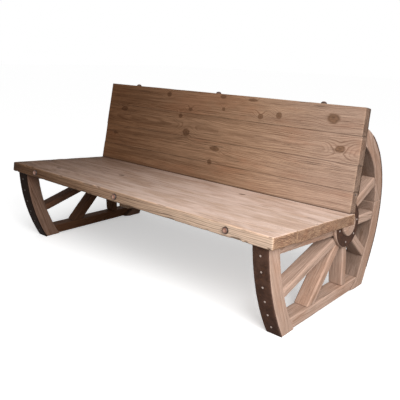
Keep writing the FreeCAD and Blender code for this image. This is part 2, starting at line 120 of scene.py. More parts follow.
class IronLook(bpy.types.PropertyGroup):
    """Colours and sizes of the iron and the fasteners."""
    tyre: FloatVectorProperty(name="Tyre", description="Dark iron of the tyres and rings", subtype="COLOR",
                              default=(0.052, 0.027, 0.019), size=3)
    copper: FloatVectorProperty(name="Dome nail", description="Rusty copper-brown of the domed nails",
                                subtype="COLOR", default=(0.25, 0.110, 0.070), size=3)
    bright: FloatVectorProperty(name="Bright steel", description="Worn bright steel of rivets and screws",
                                subtype="COLOR", default=(0.40, 0.31, 0.27), size=3)
    tyre_thickness: FloatProperty(name="Tyre thickness", description="Thickness of the iron tyres",
                                  default=0.006, unit="LENGTH")
    front_width: FloatProperty(name="Front tyre width", description="Width of the front tyres",
                               default=0.073, unit="LENGTH")
    rear_width: FloatProperty(name="Rear tyre width", description="Width of the rear tyres",
                              default=0.093, unit="LENGTH")
    outboard: FloatProperty(name="Outboard face", description="Place of the wheel ends' outer faces",
                            default=0.852, unit="LENGTH")
    rivet_radius: FloatProperty(name="Rivet head", description="Radius of a rivet's head",
                                default=0.0048, unit="LENGTH")
    rivet_height: FloatProperty(name="Rivet rise", description="Height of a rivet's head",
                                default=0.0028, unit="LENGTH")
    screw_radius: FloatProperty(name="Screw head", description="Radius of a screw's head",
                                default=0.005, unit="LENGTH")
    screw_height: FloatProperty(name="Screw rise", description="Height of a screw's head",
                                default=0.003, unit="LENGTH")
    dome_radius: FloatProperty(name="Dome radius", description="Radius of a domed nail's head",
                               default=0.015, unit="LENGTH")
    dome_height: FloatProperty(name="Dome rise", description="Height of a domed nail's head",
                               default=0.012, unit="LENGTH")


class StudioLook(bpy.types.PropertyGroup):
    """Light, floor and camera."""
    sky: FloatProperty(name="Sky", description="Strength of the even white light", default=0.28)
    sun: FloatProperty(name="Soft lamp", description="Strength of the wide lamp from above", default=1.5)
    softness: FloatProperty(name="Softness", description="Apparent size of the wide lamp",
                            default=math.radians(58), subtype="ANGLE")
    side: FloatProperty(name="Side lamp", description="Power of the lamp beside the right end", default=64)
    bounce: FloatProperty(name="Bounce", description="Share of the light that the floor throws back",
                          default=0.35)
    floor_lift: FloatProperty(name="Floor lift", description="Light that the floor seems to give off",
                              default=0.407)
    floor_size: FloatProperty(name="Floor", description="Side of the floor", default=60, unit="LENGTH")
    lens: FloatProperty(name="Lens", description="Focal length of the camera on a 36 mm sensor",
                        default=49.045)
    shift: FloatProperty(name="Shift", description="Vertical shift of the camera", default=-0.162)


# ---------------------------------------------------------------- node trees

class Shade:
    """One output of a node; sums, products and powers of it add Math nodes."""

    def __init__(self, tree, socket):
        self.tree, self.socket = tree, socket

    def __add__(self, other):
        return self.tree.maths("ADD", self, other)

    def __radd__(self, other):
        return self.tree.maths("ADD", other, self)

    def __sub__(self, other):
        return self.tree.maths("SUBTRACT", self, other)

    def __mul__(self, other):
        return self.tree.maths("MULTIPLY", self, other)

    def __truediv__(self, other):
        return self.tree.maths("DIVIDE", self, other)

    def __pow__(self, other):
        return self.tree.maths("POWER", self, other)


class Tree:
    """A node tree that is built by calls: one call adds a node and plugs its inputs."""

    def __init__(self, tree):
        self.tree = tree

    def node(self, kind, settings=None, inputs=(), output=0):
        made = self.tree.nodes.new(kind)
        for key, value in (settings or {}).items():
            setattr(made, key, value)
        for key, value in inputs.items() if isinstance(inputs, dict) else enumerate(inputs):
            self.plug(made.inputs[key], value)
        return Shade(self, made.outputs[output]) if made.outputs else None

    def plug(self, socket, value):
        if isinstance(value, Shade):
            self.tree.links.new(value.socket, socket)
        else:
            socket.default_value = (*value, 1) if socket.type == "RGBA" else value

    def maths(self, operation, *values):
        return self.node("ShaderNodeMath", {"operation": operation}, values)

    def vector_maths(self, operation, *values, output=0):
        return self.node("ShaderNodeVectorMath", {"operation": operation}, values, output)

    def parts(self, vector):
        separated = self.node("ShaderNodeSeparateXYZ", None, (vector,))
        return [Shade(self, socket) for socket in separated.socket.node.outputs]

    def seen_rays(self):
        """1 for the rays by which the camera sees a thing: straight, mirrored or through a clear one."""
        straight, mirrored, clear = (self.node("ShaderNodeLightPath", output="Is %s Ray" % kind)
                                     for kind in ("Camera", "Glossy", "Transmission"))
        return self.maths("MAXIMUM", self.maths("MAXIMUM", straight, mirrored), clear)


class Finish(Tree):
    """A material with one Principled shader, and the nodes that vary it."""

    def __init__(self, name, specular=0.5):
        self.material = bpy.data.materials.new(name)
        self.material.use_nodes = True
        super().__init__(self.material.node_tree)
        self.tree.nodes.clear()
        self.output = self.tree.nodes.new("ShaderNodeOutputMaterial")
        self.shader = self.tree.nodes.new("ShaderNodeBsdfPrincipled")
        self.shader.inputs["Specular IOR Level"].default_value = specular
        self.tree.links.new(self.shader.outputs[0], self.output.inputs[0])

    def attribute(self, name, output=1):
        return self.node("ShaderNodeAttribute", {"attribute_name": name}, output=output)

    def scaled(self, vector, factors):
        return self.vector_maths("MULTIPLY", vector, factors)

    def length(self, vector):
        return self.vector_maths("LENGTH", vector, output=1)

    def noise(self, vector, factors, detail, roughness):
        """Cloudy values, finer along an axis that has a larger factor."""
        factors = factors if isinstance(factors, tuple) else (factors,) * 3
        return self.node("ShaderNodeTexNoise", None, {"Vector": self.scaled(vector, factors), "Scale": 1.0,
                                                      "Detail": detail, "Roughness": roughness})

    def ease(self, value, low, high, start=0.0, end=1.0):
        """A smooth step from start to end while the value goes from low to high."""
        return self.node("ShaderNodeMapRange", {"interpolation_type": "SMOOTHSTEP"},
                         (value, low, high, start, end))

    def mix(self, factor, first, second, blend="MIX"):
        return self.node("ShaderNodeMix", {"data_type": "RGBA", "blend_type": blend},
                         {0: factor, 6: first, 7: second}, 2)

    def surface(self, height, distance, strength, **values):
        """Plugs the shader's inputs, and a bump of the given height."""
        values["Normal"] = self.node("ShaderNodeBump", None,
                                     {"Height": height, "Distance": distance, "Strength": strength})
        for name, value in values.items():
            self.plug(self.shader.inputs[name.replace("_", " ")], value)
        return self.material


def toned(colour, factor, lift=0.0):
    """The colour made darker or paler."""
    return [min(1.0, part * factor + lift) for part in colour]


def wood_finish(name, pale, dark, ring, contrast, rub=0.5, knots=(), bleach=None, painted_left_shade=None,
                end_shade=None, front_painted_light=0.0, pale_end=None):
    """Worn sawn wood: rings about the heart, wandering grain, knots, checks, stains and worn edges.

    Attribute "grain" counts from the heart of the tree along and across the board, "place" from the
    middle of the bench or of the timber; "wear", "stain" and "tone" are shares."""
    wood = Finish(name, specular=0.05)
    grain, place = wood.attribute("grain"), wood.attribute("place")
    wear, stain, tone = (wood.attribute(kind, 2) for kind in ("wear", "stain", "tone"))
    along, up, _ = wood.parts(place)
    facing_x, facing_y, facing_z = wood.parts(wood.node("ShaderNodeNewGeometry", output=1))

    # Rings round the heart, pushed aside by slow and quick wander and by each knot
    slow = wood.noise(grain, (0.85, 5.0, 5.0), 2, 0.45)
    quick = wood.noise(grain, (11, 60, 60), 3, 0.55)
    rings = wood.length(wood.scaled(grain, (0, 1, 1))) + (slow - 0.5) * 0.105 + (quick - 0.5) * 0.0072
    bend = wood.noise(place, (38, 60, 60), 2, 0.5)
    core = eye = 0.0
    for knot_x, knot_y, reach, tall in knots:
        offset = wood.vector_maths("SUBTRACT", place, (knot_x, knot_y, 0))
        near = wood.length(wood.scaled(offset, (0.85 / reach, 1 / tall, 0)))
        near = near + (quick - 0.5) * 0.7 + (bend - 0.5) * 0.6
        rings = rings + wood.ease(near, 0.2, 4.2, 0.017, 0)
        core = wood.maths("MAXIMUM", core, wood.ease(near, 0.8, 1.4, 1, 0))
        halo = wood.ease(near, 0.6, 0.85) * wood.ease(near, 0.9, 1.2, 0.9, 0)
        eye = wood.maths("MAXIMUM", eye, wood.maths("MAXIMUM", wood.ease(near, 0.05, 0.6, 1, 0), halo))
    turns = rings / ring
    phase = wood.maths("FRACT", turns)
    year = wood.node("ShaderNodeTexWhiteNoise", {"noise_dimensions": "1D"}, {"W": wood.maths("FLOOR", turns)})
    late = wood.ease(phase, 0.35, 0.93) * wood.ease(phase, 0.93, 1.0, 1, 0)
    line = late * (year ** 1.5 * 0.7 + 0.32)

    # Streaks along the fibres, broad patches and fine dark checks
    fibre = wood.noise(grain, (8, 420, 420), 3, 0.65)
    streak = wood.noise(grain, (2.0, 75, 75), 4, 0.6)
    band = wood.noise(grain, (1.1, 20, 20), 3, 0.55)
    patch = wood.noise(grain, (2.4, 9, 9), 3, 0.6)
    check = wood.ease(wood.noise(grain, (4.5, 230, 230), 2, 0.55), 0.665, 0.73)
    between = wood.mix(0.5, pale, dark)
    colour = wood.mix(wood.ease(streak, 0.4, 0.62) * 0.5, pale, between)
    colour = wood.mix(wood.ease(band, 0.44, 0.64) * 0.4, colour, between)
    colour = wood.mix(line * wood.ease(patch, 0.25, 0.7, 0.6, 1) * contrast, colour, dark)
    colour = wood.mix(wood.ease(patch, 0.48, 0.7) * 0.38, colour, (0.42, 0.2, 0.11))
    colour = wood.mix(wood.ease(fibre, 0.46, 0.64) * 0.42, colour, toned(dark, 0.6))
    if bleach:
        cloudy = wood.ease(wood.noise(grain, (5, 18, 18), 4, 0.62), 0.36, 0.6, 0.5, 1)
        amount = wood.ease(facing_z, 0.55, 0.95) * bleach[0] * cloudy * wood.ease(streak, 0.4, 0.62, 1, 0.8)
        colour = wood.mix(amount, colour, bleach[1])
    if front_painted_light:
        # Painted light: the front edge is paler towards its right end, where the light falls, and its grain
        # shows there
        ahead = wood.ease(facing_y, -0.6, -0.9) * wood.ease(up, 0.02, 0.006)
        glow = ahead * wood.ease(along, -0.35, 0.8) * front_painted_light
        colour = wood.mix(glow, colour, (1.0, 0.80, 0.66), "SCREEN")
        colour = wood.mix(ahead * line * 0.45, colour, dark)
    if pale_end:
        colour = wood.mix(wood.ease(along + (band - 0.5) * 0.4, 0.1, 0.85), colour, pale_end, "MULTIPLY")
    if knots:
        whorl = wood.maths("SINE", rings * 2600) * 0.22 + 0.4
        knot = wood.mix(whorl + eye * 0.5 - 0.1, toned(dark, 1.25), toned(dark, 0.5))
        colour = wood.mix(core * 0.8, colour, knot)
    # Checks are dark and edges are rubbed pale
    colour = wood.mix(check * 0.62, colour, toned(dark, 0.25))
    colour = wood.mix(wear * wood.ease(fibre, 0.35, 0.62, 1, 0.3) * rub, colour, toned(pale, 1.3))
    if painted_left_shade:
        # Painted shade: the board grows darker from the second place to the first, towards its left end,
        # which gets less light
        left, right, amount, tint = painted_left_shade
        left_shade_share = wood.ease(along + (band - 0.5) * 0.5, right, left)
        dull = left_shade_share * wood.ease(streak, 0.45, 0.62) * 0.3
        colour = wood.mix(dull, colour, (0.35, 0.28, 0.22), "MULTIPLY")
        colour = wood.mix(left_shade_share * amount, colour, tint, "MULTIPLY")
    if end_shade:
        # The ends of the fibres soak up dirt and are torn by the saw
        cut_end = wood.ease(wood.maths("ABSOLUTE", facing_x), 0.6, 0.9)
        colour = wood.mix(cut_end * line * 0.8, colour, dark)
        sawn = wood.ease(wood.noise(place, (20, 26, 60), 3, 0.6), 0.36, 0.6, 1, 0.45)
        torn = wood.ease(wood.noise(place, (60, 420, 130), 3, 0.65), 0.5, 0.68)
        colour = wood.mix(cut_end * sawn, colour, end_shade, "MULTIPLY")
        colour = wood.mix(cut_end * torn * 0.5, colour, toned(dark, 0.7))
    # Tone darkens whole pieces: partly their own tone, partly painted shade on the left end, the back's upper
    # boards and the battens
    colour = wood.mix(tone, colour, (0.22, 0.145, 0.095), "MULTIPLY")
    # Stains, with painted shade under and between the timbers, darken towards near black
    colour = wood.mix(stain, colour, (0.03, 0.018, 0.012))
    height = fibre * 0.5 + line * 0.5 - check * 1.4 + quick * 0.3
    if knots:
        height = height - core * 0.4
    return wood.surface(height, 0.0013, 0.7, Base_Color=colour,
                        Roughness=0.64 + late * 0.1 - wear * 0.12 + check * 0.12)


def iron_finish(name, base, rust, metal):
    """Old iron: mottled skin, rust in its hollows, edges rubbed a little brighter."""
    iron = Finish(name, specular=0.03)
    place = iron.node("ShaderNodeTexCoord", output=3)
    cloud = iron.noise(place, 22, 5, 0.62)
    pit = iron.noise(place, 310, 2, 0.6)
    spots = iron.ease(iron.noise(place, 75, 4, 0.7), 0.52, 0.66)
    wear = iron.attribute("wear", 2)
    colour = iron.mix(iron.ease(cloud, 0.35, 0.68), base, toned(base, 1.75))
    colour = iron.mix(spots * 0.5, colour, rust)
    colour = iron.mix(iron.ease(pit, 0.6, 0.75) * 0.45, colour, toned(base, 0.35))
    colour = iron.mix(wear * 0.3, colour, toned(base, 3.2, 0.03))
    # Tone darkens the left end's iron: painted shade
    colour = iron.mix(iron.attribute("tone", 2), colour, (0.1, 0.12, 0.12), "MULTIPLY")
    return iron.surface(cloud * 0.9 + pit * 0.22 + spots * 0.3, 0.0012, 0.55, Base_Color=colour,
                        Metallic=iron.ease(spots, 0, 1, metal, metal * 0.3),
                        Roughness=0.6 + cloud * 0.22 + spots * 0.12 - wear * 0.15)


def domed_finish(name, base):
    """Rusty copper-brown dome with painted shade round its rim, and a painted highlight on its crown, which
    is partly rubbed bright.
    """
    dome = Finish(name)
    place = dome.node("ShaderNodeTexCoord", output=3)
    wear = dome.attribute("wear", 2)
    cloud = dome.noise(place, 120, 4, 0.65)
    pit = dome.noise(place, 620, 2, 0.6)
    colour = dome.mix(dome.ease(cloud, 0.3, 0.7), toned(base, 0.42), base)
    # Painted highlight on the crown, partly bright rubbed metal
    colour = dome.mix(dome.ease(wear, 0.84, 0.98) * 0.5, colour, (0.62, 0.36, 0.27))
    # Painted shade round the rim
    colour = dome.mix(dome.ease(wear, 0.45, 0.85, 0.97, 0), colour, (0.020, 0.009, 0.006))
    return dome.surface(cloud + pit * 0.3, 0.0008, 0.6, Base_Color=colour,
                        Metallic=dome.ease(cloud, 0.3, 0.7, 0.15, 0.4),
                        Roughness=0.4 + cloud * 0.2 - wear * 0.1)


def bright_finish(name, base):
    """Bright steel head with a dull worn skin."""
    steel = Finish(name)
    place = steel.node("ShaderNodeTexCoord", output=3)
    cloud = steel.noise(place, 260, 4, 0.6)
    scratch = steel.noise(place, (90, 1400, 1400), 2, 0.6)
    colour = steel.mix(steel.ease(cloud, 0.35, 0.7), base, toned(base, 0.5))
    # Tone darkens the left end's rivets, which is painted shade, and the screws in the back's ends
    colour = steel.mix(steel.attribute("tone", 2), colour, (0.08, 0.08, 0.08), "MULTIPLY")
    return steel.surface(cloud + scratch * 0.3, 0.0004, 0.5, Base_Color=colour,
                         Metallic=steel.ease(cloud, 0.4, 0.7, 0.5, 0.3),
                         Roughness=0.45 + cloud * 0.25 + scratch * 0.08)


FINISHES = {}


# ---------------------------------------------------------------- meshes

def unit(values):
    """The values held between 0 and 1."""
    return np.clip(values, 0, 1)


def hump(distance, reach):
    """1 at no distance, and less on both sides."""
    return np.exp(-(distance / reach) ** 2)


def fading(distance, reach):
    """1 up to no distance, and less beyond."""
    return np.exp(-np.maximum(distance, 0) / reach)


def wobble(points, scale, seed):
    """Smooth noise from -1 to 1 at each point, stretched by a scale for each axis."""
    at = np.asarray(points) * np.asarray(scale) + seed * 7.31
    return np.array([noise.noise(Vector(p)) for p in at])


def set_attributes(mesh, **named):
    for name, values in named.items():
        values = np.asarray(values, np.float32)
        kind, field = ("FLOAT_VECTOR", "vector") if values.ndim == 2 else ("FLOAT", "value")
        mesh.attributes.new(name, kind, "POINT").data.foreach_set(field, values.ravel())


def triples(items, name):
    """The named vectors of a mesh's items as an array."""
    found = np.zeros(len(items) * 3, np.float32)
    items.foreach_get(name, found)
    return found.reshape(-1, 3).astype(float)


def put_points(mesh, points):
    mesh.vertices.foreach_set("co", np.asarray(points, np.float32).ravel())
    mesh.update()


def weld(mesh, reach=0.00002, cut=None, outwards=True):
    """Joins the points that lie together, cuts the mesh by a plane and points its faces outwards."""
    work = bmesh.new()
    work.from_mesh(mesh)
    bmesh.ops.remove_doubles(work, verts=work.verts[:], dist=reach)
    if cut:
        sliced = bmesh.ops.bisect_plane(work, geom=work.verts[:] + work.edges[:] + work.faces[:],
                                        plane_co=cut[0], plane_no=cut[1], clear_outer=True)
        rim = [item for item in sliced["geom_cut"] if isinstance(item, bmesh.types.BMEdge)]
        bmesh.ops.holes_fill(work, edges=rim, sides=0)
        bmesh.ops.remove_doubles(work, verts=work.verts[:], dist=reach)
    if outwards:
        bmesh.ops.recalc_face_normals(work, faces=work.faces[:])
        if work.calc_volume(signed=True) < 0:
            bmesh.ops.reverse_faces(work, faces=work.faces[:])
    work.to_mesh(mesh)
    work.free()


def new_piece(name, mesh, slot, *nodes):
    """Links a finished mesh as a piece that rides on the bench and stands for the nodes."""
    piece = bpy.data.objects.new(name, mesh)
    bpy.context.scene.collection.objects.link(piece)
    if not mesh.materials:
        mesh.materials.append(FINISHES[slot])
    mesh.polygons.foreach_set("use_smooth", np.ones(len(mesh.polygons), bool))
    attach(piece, "root")
    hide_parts(*nodes)
    return piece


def evenly(first, last, count):
    return [first + (last - first) * number / (count - 1) for number in range(count)]


# ---------------------------------------------------------------- boards

def board_sections(stations, corners, rounding, seed, exposed):
    """Rings of a board's section: for each station the across and through place of each ring point.

    The long edges are rounded by a radius that wanders; exposed gives the wear of the four edges."""
    width, thick = corners[2]
    inward = ((1, 1), (-1, 1), (-1, -1), (1, -1))
    arc_steps = 4
    step_counts = [max(8, round(side / 0.0075)) for side in (width, thick)]
    line = np.zeros((len(stations), 3))
    line[:, 0] = stations
    radii = []
    for number, wear in enumerate(exposed):
        wander = (0.7 * wobble(line, (6.5, 1, 1), seed + number * 3.7)
                  + 0.6 * wobble(line, (55, 1, 1), seed + number * 5.1 + 40))
        radii.append(np.clip(rounding * wear * (1 + wander), rounding * 0.15, min(width, thick) * 0.42))

    def on_arc(number, turn):
        radius = radii[number]
        return np.stack([corners[number][axis] + inward[number][axis] * radius + radius * way
                         for axis, way in enumerate((math.cos(turn), math.sin(turn)))], 1)

    ring = []
    for number in range(4):
        start = math.radians(180 + 90 * number)
        ring += [on_arc(number, start + math.radians(90) * step / arc_steps) for step in range(arc_steps + 1)]
        leave = ring[-1]
        meet = on_arc((number + 1) % 4, start + math.radians(90))
        steps = step_counts[number % 2]
        for step in range(1, steps):
            # Points crowd towards the edges, where the wear is
            share = step / steps
            share = share - 0.62 * math.sin(2 * math.pi * share) / (2 * math.pi)
            ring.append(leave * (1 - share) + meet * share)
    return np.stack(ring, 1)


def end_rings(first, sign, middle, eased, rough, seed):
    """Rings that round a board's end off and then close on the middle line of its rough face."""
    rings = []
    for turn in (math.radians(90) * step / 4 for step in (1, 2, 3, 4)):
        ring = first.copy()
        ring[:, 1:] = middle + (first[:, 1:] - middle) * (1 - eased * (1 - math.cos(turn)) / middle)
        ring[:, 0] = first[:, 0] - sign * eased * (1 - math.sin(turn))
        rings.append(ring)
    outer = rings[-1]
    for share in (0.88, 0.72, 0.55, 0.38, 0.2, 0.0):
        ring = outer.copy()
        ring[:, 1:] = middle + (outer[:, 1:] - middle) * (1 - min(middle) * (1 - share) / middle)
        rings.append(ring)
    for ring in rings[3:]:
        ring[:, 0] += rough * (wobble(ring, (1, 80, 80), seed + 21)
                               + 0.8 * wobble(ring, (1, 260, 260), seed + 23))
    return rings


def board(node, slot, place, low, high, seed, rounding, exposed, heart, station, bites, tone, dark_edges,
          end_shift, end_round, joints, roughness=0.0007, end_rough=0.0011, chips=0.0, dark_end=0.0,
          rear_darkening=0.0, foot_line=None, painted_low_shade=0.0, cut=None, upright=False):
    """A worn board: rings of points along it, rough ends, bites and chips in its edges.

    low and high are its corners in the seat's or back's own frame, which place turns into the bench's.
    exposed is the wear of its four long edges, heart where the tree's heart lies across it, end_shift
    how much longer it is at its left and right end, and joints where it meets its neighbours."""
    width, thick = high[1] - low[1], high[2] - low[2]
    start, end = low[0] - end_shift[0], high[0] + end_shift[1]
    count = max(8, round((end - start) / station))
    stations = np.linspace(start, end, count + 1)
    edges = np.array([(0, 0), (width, 0), (width, thick), (0, thick)])
    middle = edges[2] / 2
    inward = np.sign(middle - edges)
    rings = board_sections(stations, edges, rounding, seed, exposed)
    around = rings.shape[1]
    points = np.zeros((count + 1, around, 3))
    points[:, :, 0] = stations[:, None]
    points[:, :, 1:] = rings
    flat = points.reshape(-1, 3)

    # Slow warp of the faces and small unevenness
    way = np.zeros_like(flat)
    nearest = np.stack([flat[:, 1], width - flat[:, 1], flat[:, 2], thick - flat[:, 2]], 1).argmin(1)
    for number, direction in enumerate(((0, -1, 0), (0, 1, 0), (0, 0, -1), (0, 0, 1))):
        way[nearest == number] = direction
    push = roughness * (wobble(flat, (5, 22, 22), seed) + 0.5 * wobble(flat, (28, 90, 90), seed + 11)
                        + 0.35 * wobble(flat, (14, 260, 260), seed + 17))
    flat = flat + way * push[:, None]

    # Bites: dents that run along an edge, given by place along, edge number, half length and depth
    bitten = np.zeros(len(flat))
    for along, edge, half, depth in bites:
        apart = ((flat[:, 1:] - edges[edge]) ** 2).sum(1)
        ragged = 1 + 0.4 * wobble(flat, (130, 90, 90), seed + along * 13)
        window = unit(1.15 - np.abs((flat[:, 0] - along) / half) ** 2.5)
        weight = window * unit(1.25 - apart / (depth * 1.7) ** 2) * ragged
        flat[:, 1:] += (weight * depth)[:, None] * inward[edge] * 0.75
        bitten += weight
    # Small chips along the two front edges wherever a noise along the board is high
    for edge in (0, 3) if chips else ():
        apart = ((flat[:, 1:] - edges[edge]) ** 2).sum(1)
        along = flat * (1, 0, 0)
        often = unit(wobble(along, (34, 1, 1), seed + edge * 2.3) - 0.28) * 2.2
        fine = 1 + 0.5 * wobble(flat, (190, 120, 120), seed + 31)
        weight = often * fine * unit(1.2 - apart / 0.006 ** 2)
        flat[:, 1:] += (weight * chips)[:, None] * inward[edge]
        bitten += weight * 0.3
    points = flat.reshape(count + 1, around, 3)

    # Stations near the rounded ends follow, so that no ring folds back
    caps = [end_rings(points[side], sign, middle, end_round[side], end_rough, seed)
            for side, sign in ((0, -1), (-1, 1))]
    points[0, :, 0] += end_round[0]
    points[-1, :, 0] -= end_round[1]
    share = (stations[1:-1] - start) / (end - start)
    points[1:-1, :, 0] = (points[0, 0, 0] + (points[-1, 0, 0] - points[0, 0, 0]) * share)[:, None]
    rows = [*caps[0][::-1], *points, *caps[1]]
    body = np.concatenate(rows)
    faces = []
    for base in range(0, (len(rows) - 1) * around, around):
        above = base + around
        for column in range(around):
            beside = (column + 1) % around
            faces.append((base + column, above + column, above + beside, base + beside))
    made = body + np.array([0, low[1], low[2]])
    mesh = bpy.data.meshes.new(node + "_worn")
    mesh.from_pydata([tuple(p) for p in made], [], faces)

    # Wear of the edges and the ends; the joints between boards aren't rubbed
    apart = np.linalg.norm(body[:, None, 1:] - edges[None], axis=2)
    worn = np.array(exposed)[None]
    edge_wear = (hump(apart, 0.002 + 0.0045 * worn) * unit(worn)).max(1)
    from_start = body[:, 0] - start
    from_end = np.minimum(from_start, end - body[:, 0])
    from_face = np.min(np.stack([body[:, 1], width - body[:, 1], body[:, 2], thick - body[:, 2]], 1), axis=1)
    near_end = fading(from_end, 0.005) * fading(from_face, 0.003)
    for axis, at in joints:
        near_end = near_end * (1 - hump(body[:, axis] - at, 0.014))
    wear = unit(edge_wear + near_end * 0.7)
    # Dark joints, darker ends and bites, and painted shadow along the back's foot
    stains_and_shade = [np.zeros(len(made))]
    for edge, strength in dark_edges:
        broken = unit(0.72 + 0.5 * wobble(body, (7, 1, 1), seed + edge)) if strength < 1 else 1
        stains_and_shade.append(hump(apart[:, edge], 0.0017) * broken * strength)
        wear = wear * (1 - hump(apart[:, edge], 0.006) * 0.95)
    # The top board's rear edge is darker towards its ends
    if rear_darkening:
        rear = unit((body[:, 1] - width + 0.016) / 0.008)
        cloudy = 0.75 + 0.25 * wobble(body, (30, 30, 30), seed)
        stains_and_shade.append(rear * fading(from_end, 0.02) * rear_darkening * cloudy)
    if dark_end:
        wear = wear * unit((from_start - 0.05) / 0.06)
        reach = np.maximum(unit(1.6 - from_start / 0.022),
                           unit(1 - (from_start - 0.03) / 0.09) * 0.6 * (body[:, 1] < 0.08))
        stains_and_shade.append(reach * dark_end * (0.8 + 0.3 * wobble(body, (60, 60, 60), seed)))
    for axis, at in joints:
        stains_and_shade.append(hump(body[:, axis] - at, 0.0035) * fading(from_end, 0.004) * 0.5)
    # Painted shadow: a dark line where the back's lowest board meets the seat
    if foot_line is not None:
        stains_and_shade.append(unit(1.15 - np.abs(body[:, 2] - foot_line) / 0.009) * 0.85)
    in_bites = np.zeros(len(made))
    inner = len(caps[0]) * around
    in_bites[inner:inner + len(bitten)] = unit(bitten)
    stains_and_shade.append(in_bites * 0.42)
    # The lowest back boards get painted shade near the bench's middle in their tone
    set_attributes(mesh, grain=made + np.array([seed * 3.1, -low[1] - heart[0], -low[2] - heart[1]]),
                   place=made[:, (0, 2, 1)] if upright else made, wear=wear,
                   stain=unit(np.max(stains_and_shade, axis=0)),
                   tone=unit(tone + painted_low_shade * hump(made[:, 0] + 0.05, 0.32)))
    weld(mesh, cut=cut)
    mesh.transform(place)
    return new_piece(mesh.name, mesh, slot, node)


def seat_place():
    boards = bpy.context.scene.bench_boards
    return Matrix.Translation((0, SEAT_FRONT, SEAT_TOP)) @ Matrix.Rotation(-boards.seat_tilt, 4, "X")


def back_place():
    boards = bpy.context.scene.bench_boards
    return Matrix.Translation(BACK_FOOT) @ Matrix.Rotation(-boards.back_lean, 4, "X")


class BENCH_OT_seat_boards(bpy.types.Operator):
    """Makes the seat's four worn boards, with the bitten front edge."""
    bl_idname = "bench.seat_boards"
    bl_label = "Seat boards"

    def execute(self, context):
        sizes = context.scene.bench_boards
        wide = sizes.seat_depth / sizes.seat_boards
        half = sizes.seat_length / 2
        # Edges are numbered: 0 front below, 1 rear below, 2 rear above, 3 front above
        front_bites = ((-0.66, 0, 0.022, 0.0035), (-0.60, 0, 0.012, 0.003), (-0.25, 0, 0.020, 0.004),
                       (-0.19, 0, 0.010, 0.003), (0.10, 0, 0.024, 0.003), (0.36, 0, 0.028, 0.0035),
                       (0.715, 0, 0.030, 0.0045), (0.765, 0, 0.010, 0.0035), (-0.72, 3, 0.016, 0.005),
                       (-0.22, 3, 0.045, 0.005), (-0.14, 3, 0.02, 0.004), (0.30, 3, 0.03, 0.003),
                       (0.60, 3, 0.02, 0.003), (-0.45, 3, 0.02, 0.0035), (0.87, 3, 0.010, 0.0025),
                       (-0.87, 3, 0.010, 0.004), (-0.87, 0, 0.012, 0.004), (0.87, 0, 0.008, 0.0035))
        rear_bites = ((0.868, 3, 0.010, 0.004), (0.872, 2, 0.008, 0.004), (-0.868, 3, 0.010, 0.004))
        ends = ((0.020, 0.001), (0.008, 0.003), (0.004, 0.0), (0.003, 0.002))
        for number in range(sizes.seat_boards):
            first, last = number == 0, number == sizes.seat_boards - 1
            # The front board's dark lower front edge is painted shade under it; its other dark edge is a
            # joint
            look = (dict(bites=front_bites, dark_edges=((2, 0.2), (0, 1.0)), end_round=(0.021, 0.007),
                         chips=0.0022, joints=((1, wide),), station=sizes.station * 0.6) if first else
                    dict(bites=rear_bites, dark_edges=((3, 0.2),) if last else ((3, 0.2), (2, 0.2)),
                         end_round=(0.010, 0.004), joints=((1, 0.0),) if last else ((1, 0.0), (1, wide)),
                         station=sizes.station))
            board("seat_plank_%d" % (number + 1), "seat_wood", seat_place(),
                  (-half, number * wide, -sizes.seat_thickness), (half, (number + 1) * wide, 0),
                  seed=3.3 + number * 1.9, rounding=0.0045,
                  exposed=(1.0 if first else 0.4, 0.4, 0.5 if last else 0.16, 1.0 if first else 0.16),
                  heart=(wide * (0.35, 0.7, 0.25, 0.55)[number], -0.05 - 0.03 * (number % 2)),
                  tone=(0.0, 0.05, 0.02, 0.07)[number], end_shift=ends[number], end_rough=0.0016,
                  dark_end=0.85, **look)
        return {"FINISHED"}


class BENCH_OT_back_boards(bpy.types.Operator):
    """Makes the back's four boards, the lowest cut to stand on the seat."""
    bl_idname = "bench.back_boards"
    bl_label = "Back boards"

    def execute(self, context):
        sizes = context.scene.bench_boards
        thick = sizes.back_thickness
        half = sizes.back_length / 2
        to_back = back_place().inverted()
        seat_under = to_back.to_3x3() @ (seat_place().to_3x3() @ Vector((0, 0, -1)))
        ends = ((0.0, -0.001), (-0.002, 0.001), (0.001, 0.003), (0.0, 0.001))
        # Edges are numbered: 0 front below, 1 rear below, 2 rear above, 3 front above
        above, below = ((3, 0.66), (2, 0.4)), ((0, 0.66), (1, 0.4))
        foot = 0.0
        for number, share in enumerate(BACK_SHARES):
            tall = sizes.back_height * share
            bottom, top = number == 0, number == len(BACK_SHARES) - 1
            low_edge = -thick if bottom else foot
            hearts = (-0.05, -0.06), (-0.05, tall + 0.035), (-0.06, tall * 0.4), (-0.055, -0.045)
            # Both tone tables are painted shade: the upper boards darker overall, the lower ones darker near
            # the bench's middle
            board("back_plank_%d" % (number + 1), "back_wood", back_place(), (-half, 0, low_edge),
                  (half, thick, foot + tall), seed=21.7 + number * 2.7, rounding=0.0035,
                  exposed=(0.25, 0.4, 0.8 if top else 0.4, 0.7 if top else 0.25),
                  heart=hearts[number],
                  bites=((0.55, 3, 0.03, 0.003), (-0.3, 3, 0.04, 0.003)) if top else (),
                  dark_edges=below if top else above if bottom else below + above,
                  tone=(0.0, 0.04, 0.11, 0.15)[number], end_shift=ends[number], station=sizes.station,
                  roughness=0.0006, rear_darkening=0.8 if top else 0.0,
                  cut=(to_back @ Vector(BACK_FOOT), seat_under) if bottom else None, upright=True,
                  end_round=(0.002, 0.002), joints=((2, 0.0), (2, foot + tall - low_edge)),
                  foot_line=thick if bottom else None, painted_low_shade=(0.24, 0.1, 0.04, 0.0)[number])
            foot += tall
        return {"FINISHED"}


# ---------------------------------------------------------------- wheel timbers

